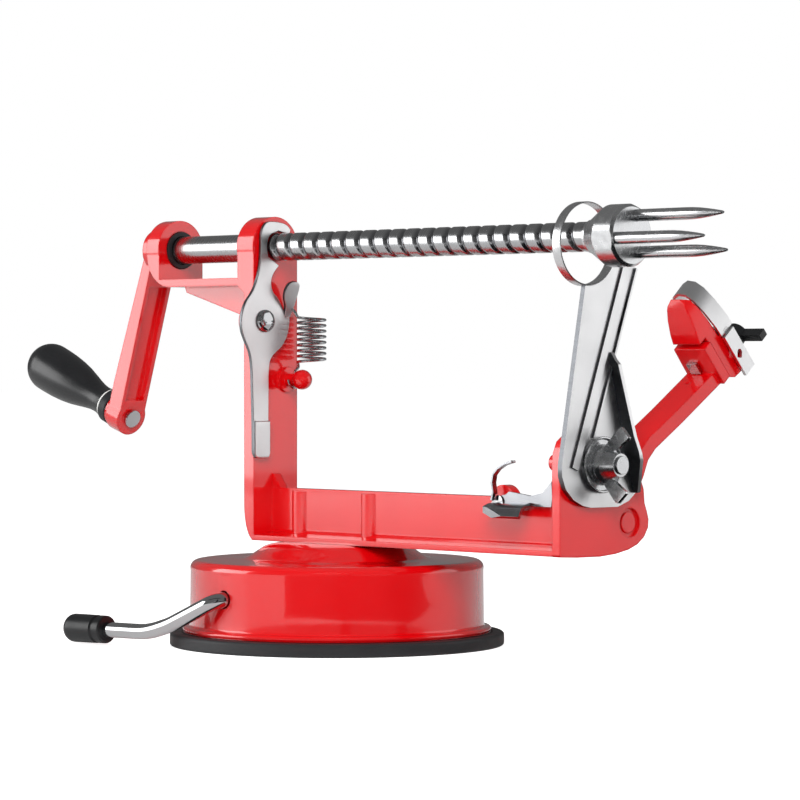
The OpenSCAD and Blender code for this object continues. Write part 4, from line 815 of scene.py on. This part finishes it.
# the lower end is an eye round the red peg, and the upper leg reaches the latch's tongue
coil_r, coil_pitch, peg_y, peg_z, eye_r = 4.15, 1.7, 4.7, 79, 2.45
coil = coiled(Vector((-20, 8.2, 84.4)), coil_r, coil_pitch, 8, 225, "Z")
low, high = coil[0], coil[-1]
eye_x = low.x - coil_r / 6
hook = [Vector((eye_x - 0.8 * (6 - k) / 12, peg_y + eye_r * math.cos(k * math.tau / 8 - math.pi),
                peg_z + eye_r * math.sin(k * math.tau / 8 - math.pi))) for k in range(7)]
hook.append(Vector((eye_x + coil_r / 24, peg_y + eye_r / 2, low.z - coil_pitch)))
top_leg = [high + Vector((-coil_r / 8, -coil_r / 6, 1.5)), Vector((-24.8, peg_y, high.z + 2.4))]
wound_spring("latch_coil_spring", flowing(hook + [low], 4)[:-1] + coil + flowing([high] + top_leg, 4)[1:],
             0.45, "latch_spring")


# Slicing and coring blade: a chromed stamping with a pressed rib and a folded edge, clamped on the
# end plate by a bolt, a dished washer and a wing nut. Its top is welded to the thin coring ring.

shear_and_shade_edges(eased("slicing_stamping", "slicer_blade", plate_chrome, "slicer", 0.22, segments=2))

band = turned([(11.3, 0), (11.62, 0), (11.75, 0.2), (11.75, 2.9), (11.5, 3.2), (11.3, 2.9)], steps=96)
band.transform(Matrix.Translation(Vector((98.2, 0.4, 117.4)) * MM) @ turned_to(ALONG_SHAFT))
finish_mesh("coring_band", band, satin, "slicer", ["coring_ring"], smooth=40)
eased("dished_washer", "cup_washer", satin, "slicer", 0.25)
eased("clamp_bolt", "slicer_bolt", satin, "frame", 0.35)
eased("wing_nut_casting", "wing_nut", satin, "wing_nut", 0.3)


# Peeling arm: a curved red die casting on a pin in the end plate, urged to the fruit by a torsion
# spring. Its head swivels on a rivet and carries the peeling blade in a chromed channel, behind
# which a black wing screw clamps it.

thin_enamel = red_enamel("red_enamel_thin_coat", coat=0.25)
eased("arm_casting", "peeler_arm", thin_enamel, "arm", 0.8)
eased("arm_pivot_pin", "arm_pin", enamel, "frame", 0.4)
eased("head_casting", "blade_head", thin_enamel, "head", 0.8)
eased("swivel_rivet", "head_rivet", steel, "arm", 0.3, segments=2)
eased("peeling_strip", "peel_blade", plate_chrome, "head", 0.15, segments=2, smooth=45)
channel = eased("blade_channel", "blade_holder", plate_chrome, "head", 0)

# a round hole through the channel's outer side, placed from the head's swivel
head_down, head_back = Vector((0, 0.6639, -0.7478)), Vector((0, 0.7478, 0.6639))
side_x = max(v.co.x for v in channel.data.vertices) / MM
hole_place = Vector((side_x, 60, 83)) + head_down * 3.6 + head_back * 10.6
cut_round_hole(channel, hole_place, ALONG_SHAFT, 1.0, 2.4)
eased("wing_screw", "blade_screw", black_plastic, "blade_screw", 0.6)

# the torsion spring's coil winds round the pin, with a straight leg at each end
coil = coiled(Vector((78.9, 20.1, 39)), 4.3, 1.7, 3, 200, "X")
upper_end, lower_end = coil[0] + Vector((0, -1.8, 5.04)), coil[-1] + Vector((0, 3.06, -4.23))
wound_spring("arm_torsion_spring", [upper_end] + coil + [lower_end], 0.6, "arm_spring")


# Arm catch: a stamped steel lever, chromed, that rocks on a rivet in the beam's lug, with a folded
# thumb tab and a thin leaf spring. The rivet is a little smaller all round, so the lever rocks free.

catch_chrome = chrome_finish("small_chromed_stamping", "#B6B7BA", "#93959A", (0.16, 0.24))
eased("catch_stamping", "arm_catch", catch_chrome, "catch", 0.2, segments=2)
catch_rivet = eased("catch_rivet", "catch_pin", chrome, "frame", 0.25)
rivet_play = 0.08
for v in catch_rivet.data.vertices:
    v.co -= v.normal * rivet_play * MM
eased("catch_leaf", "catch_spring", catch_chrome, "catch", 0.1, segments=2, smooth=45)
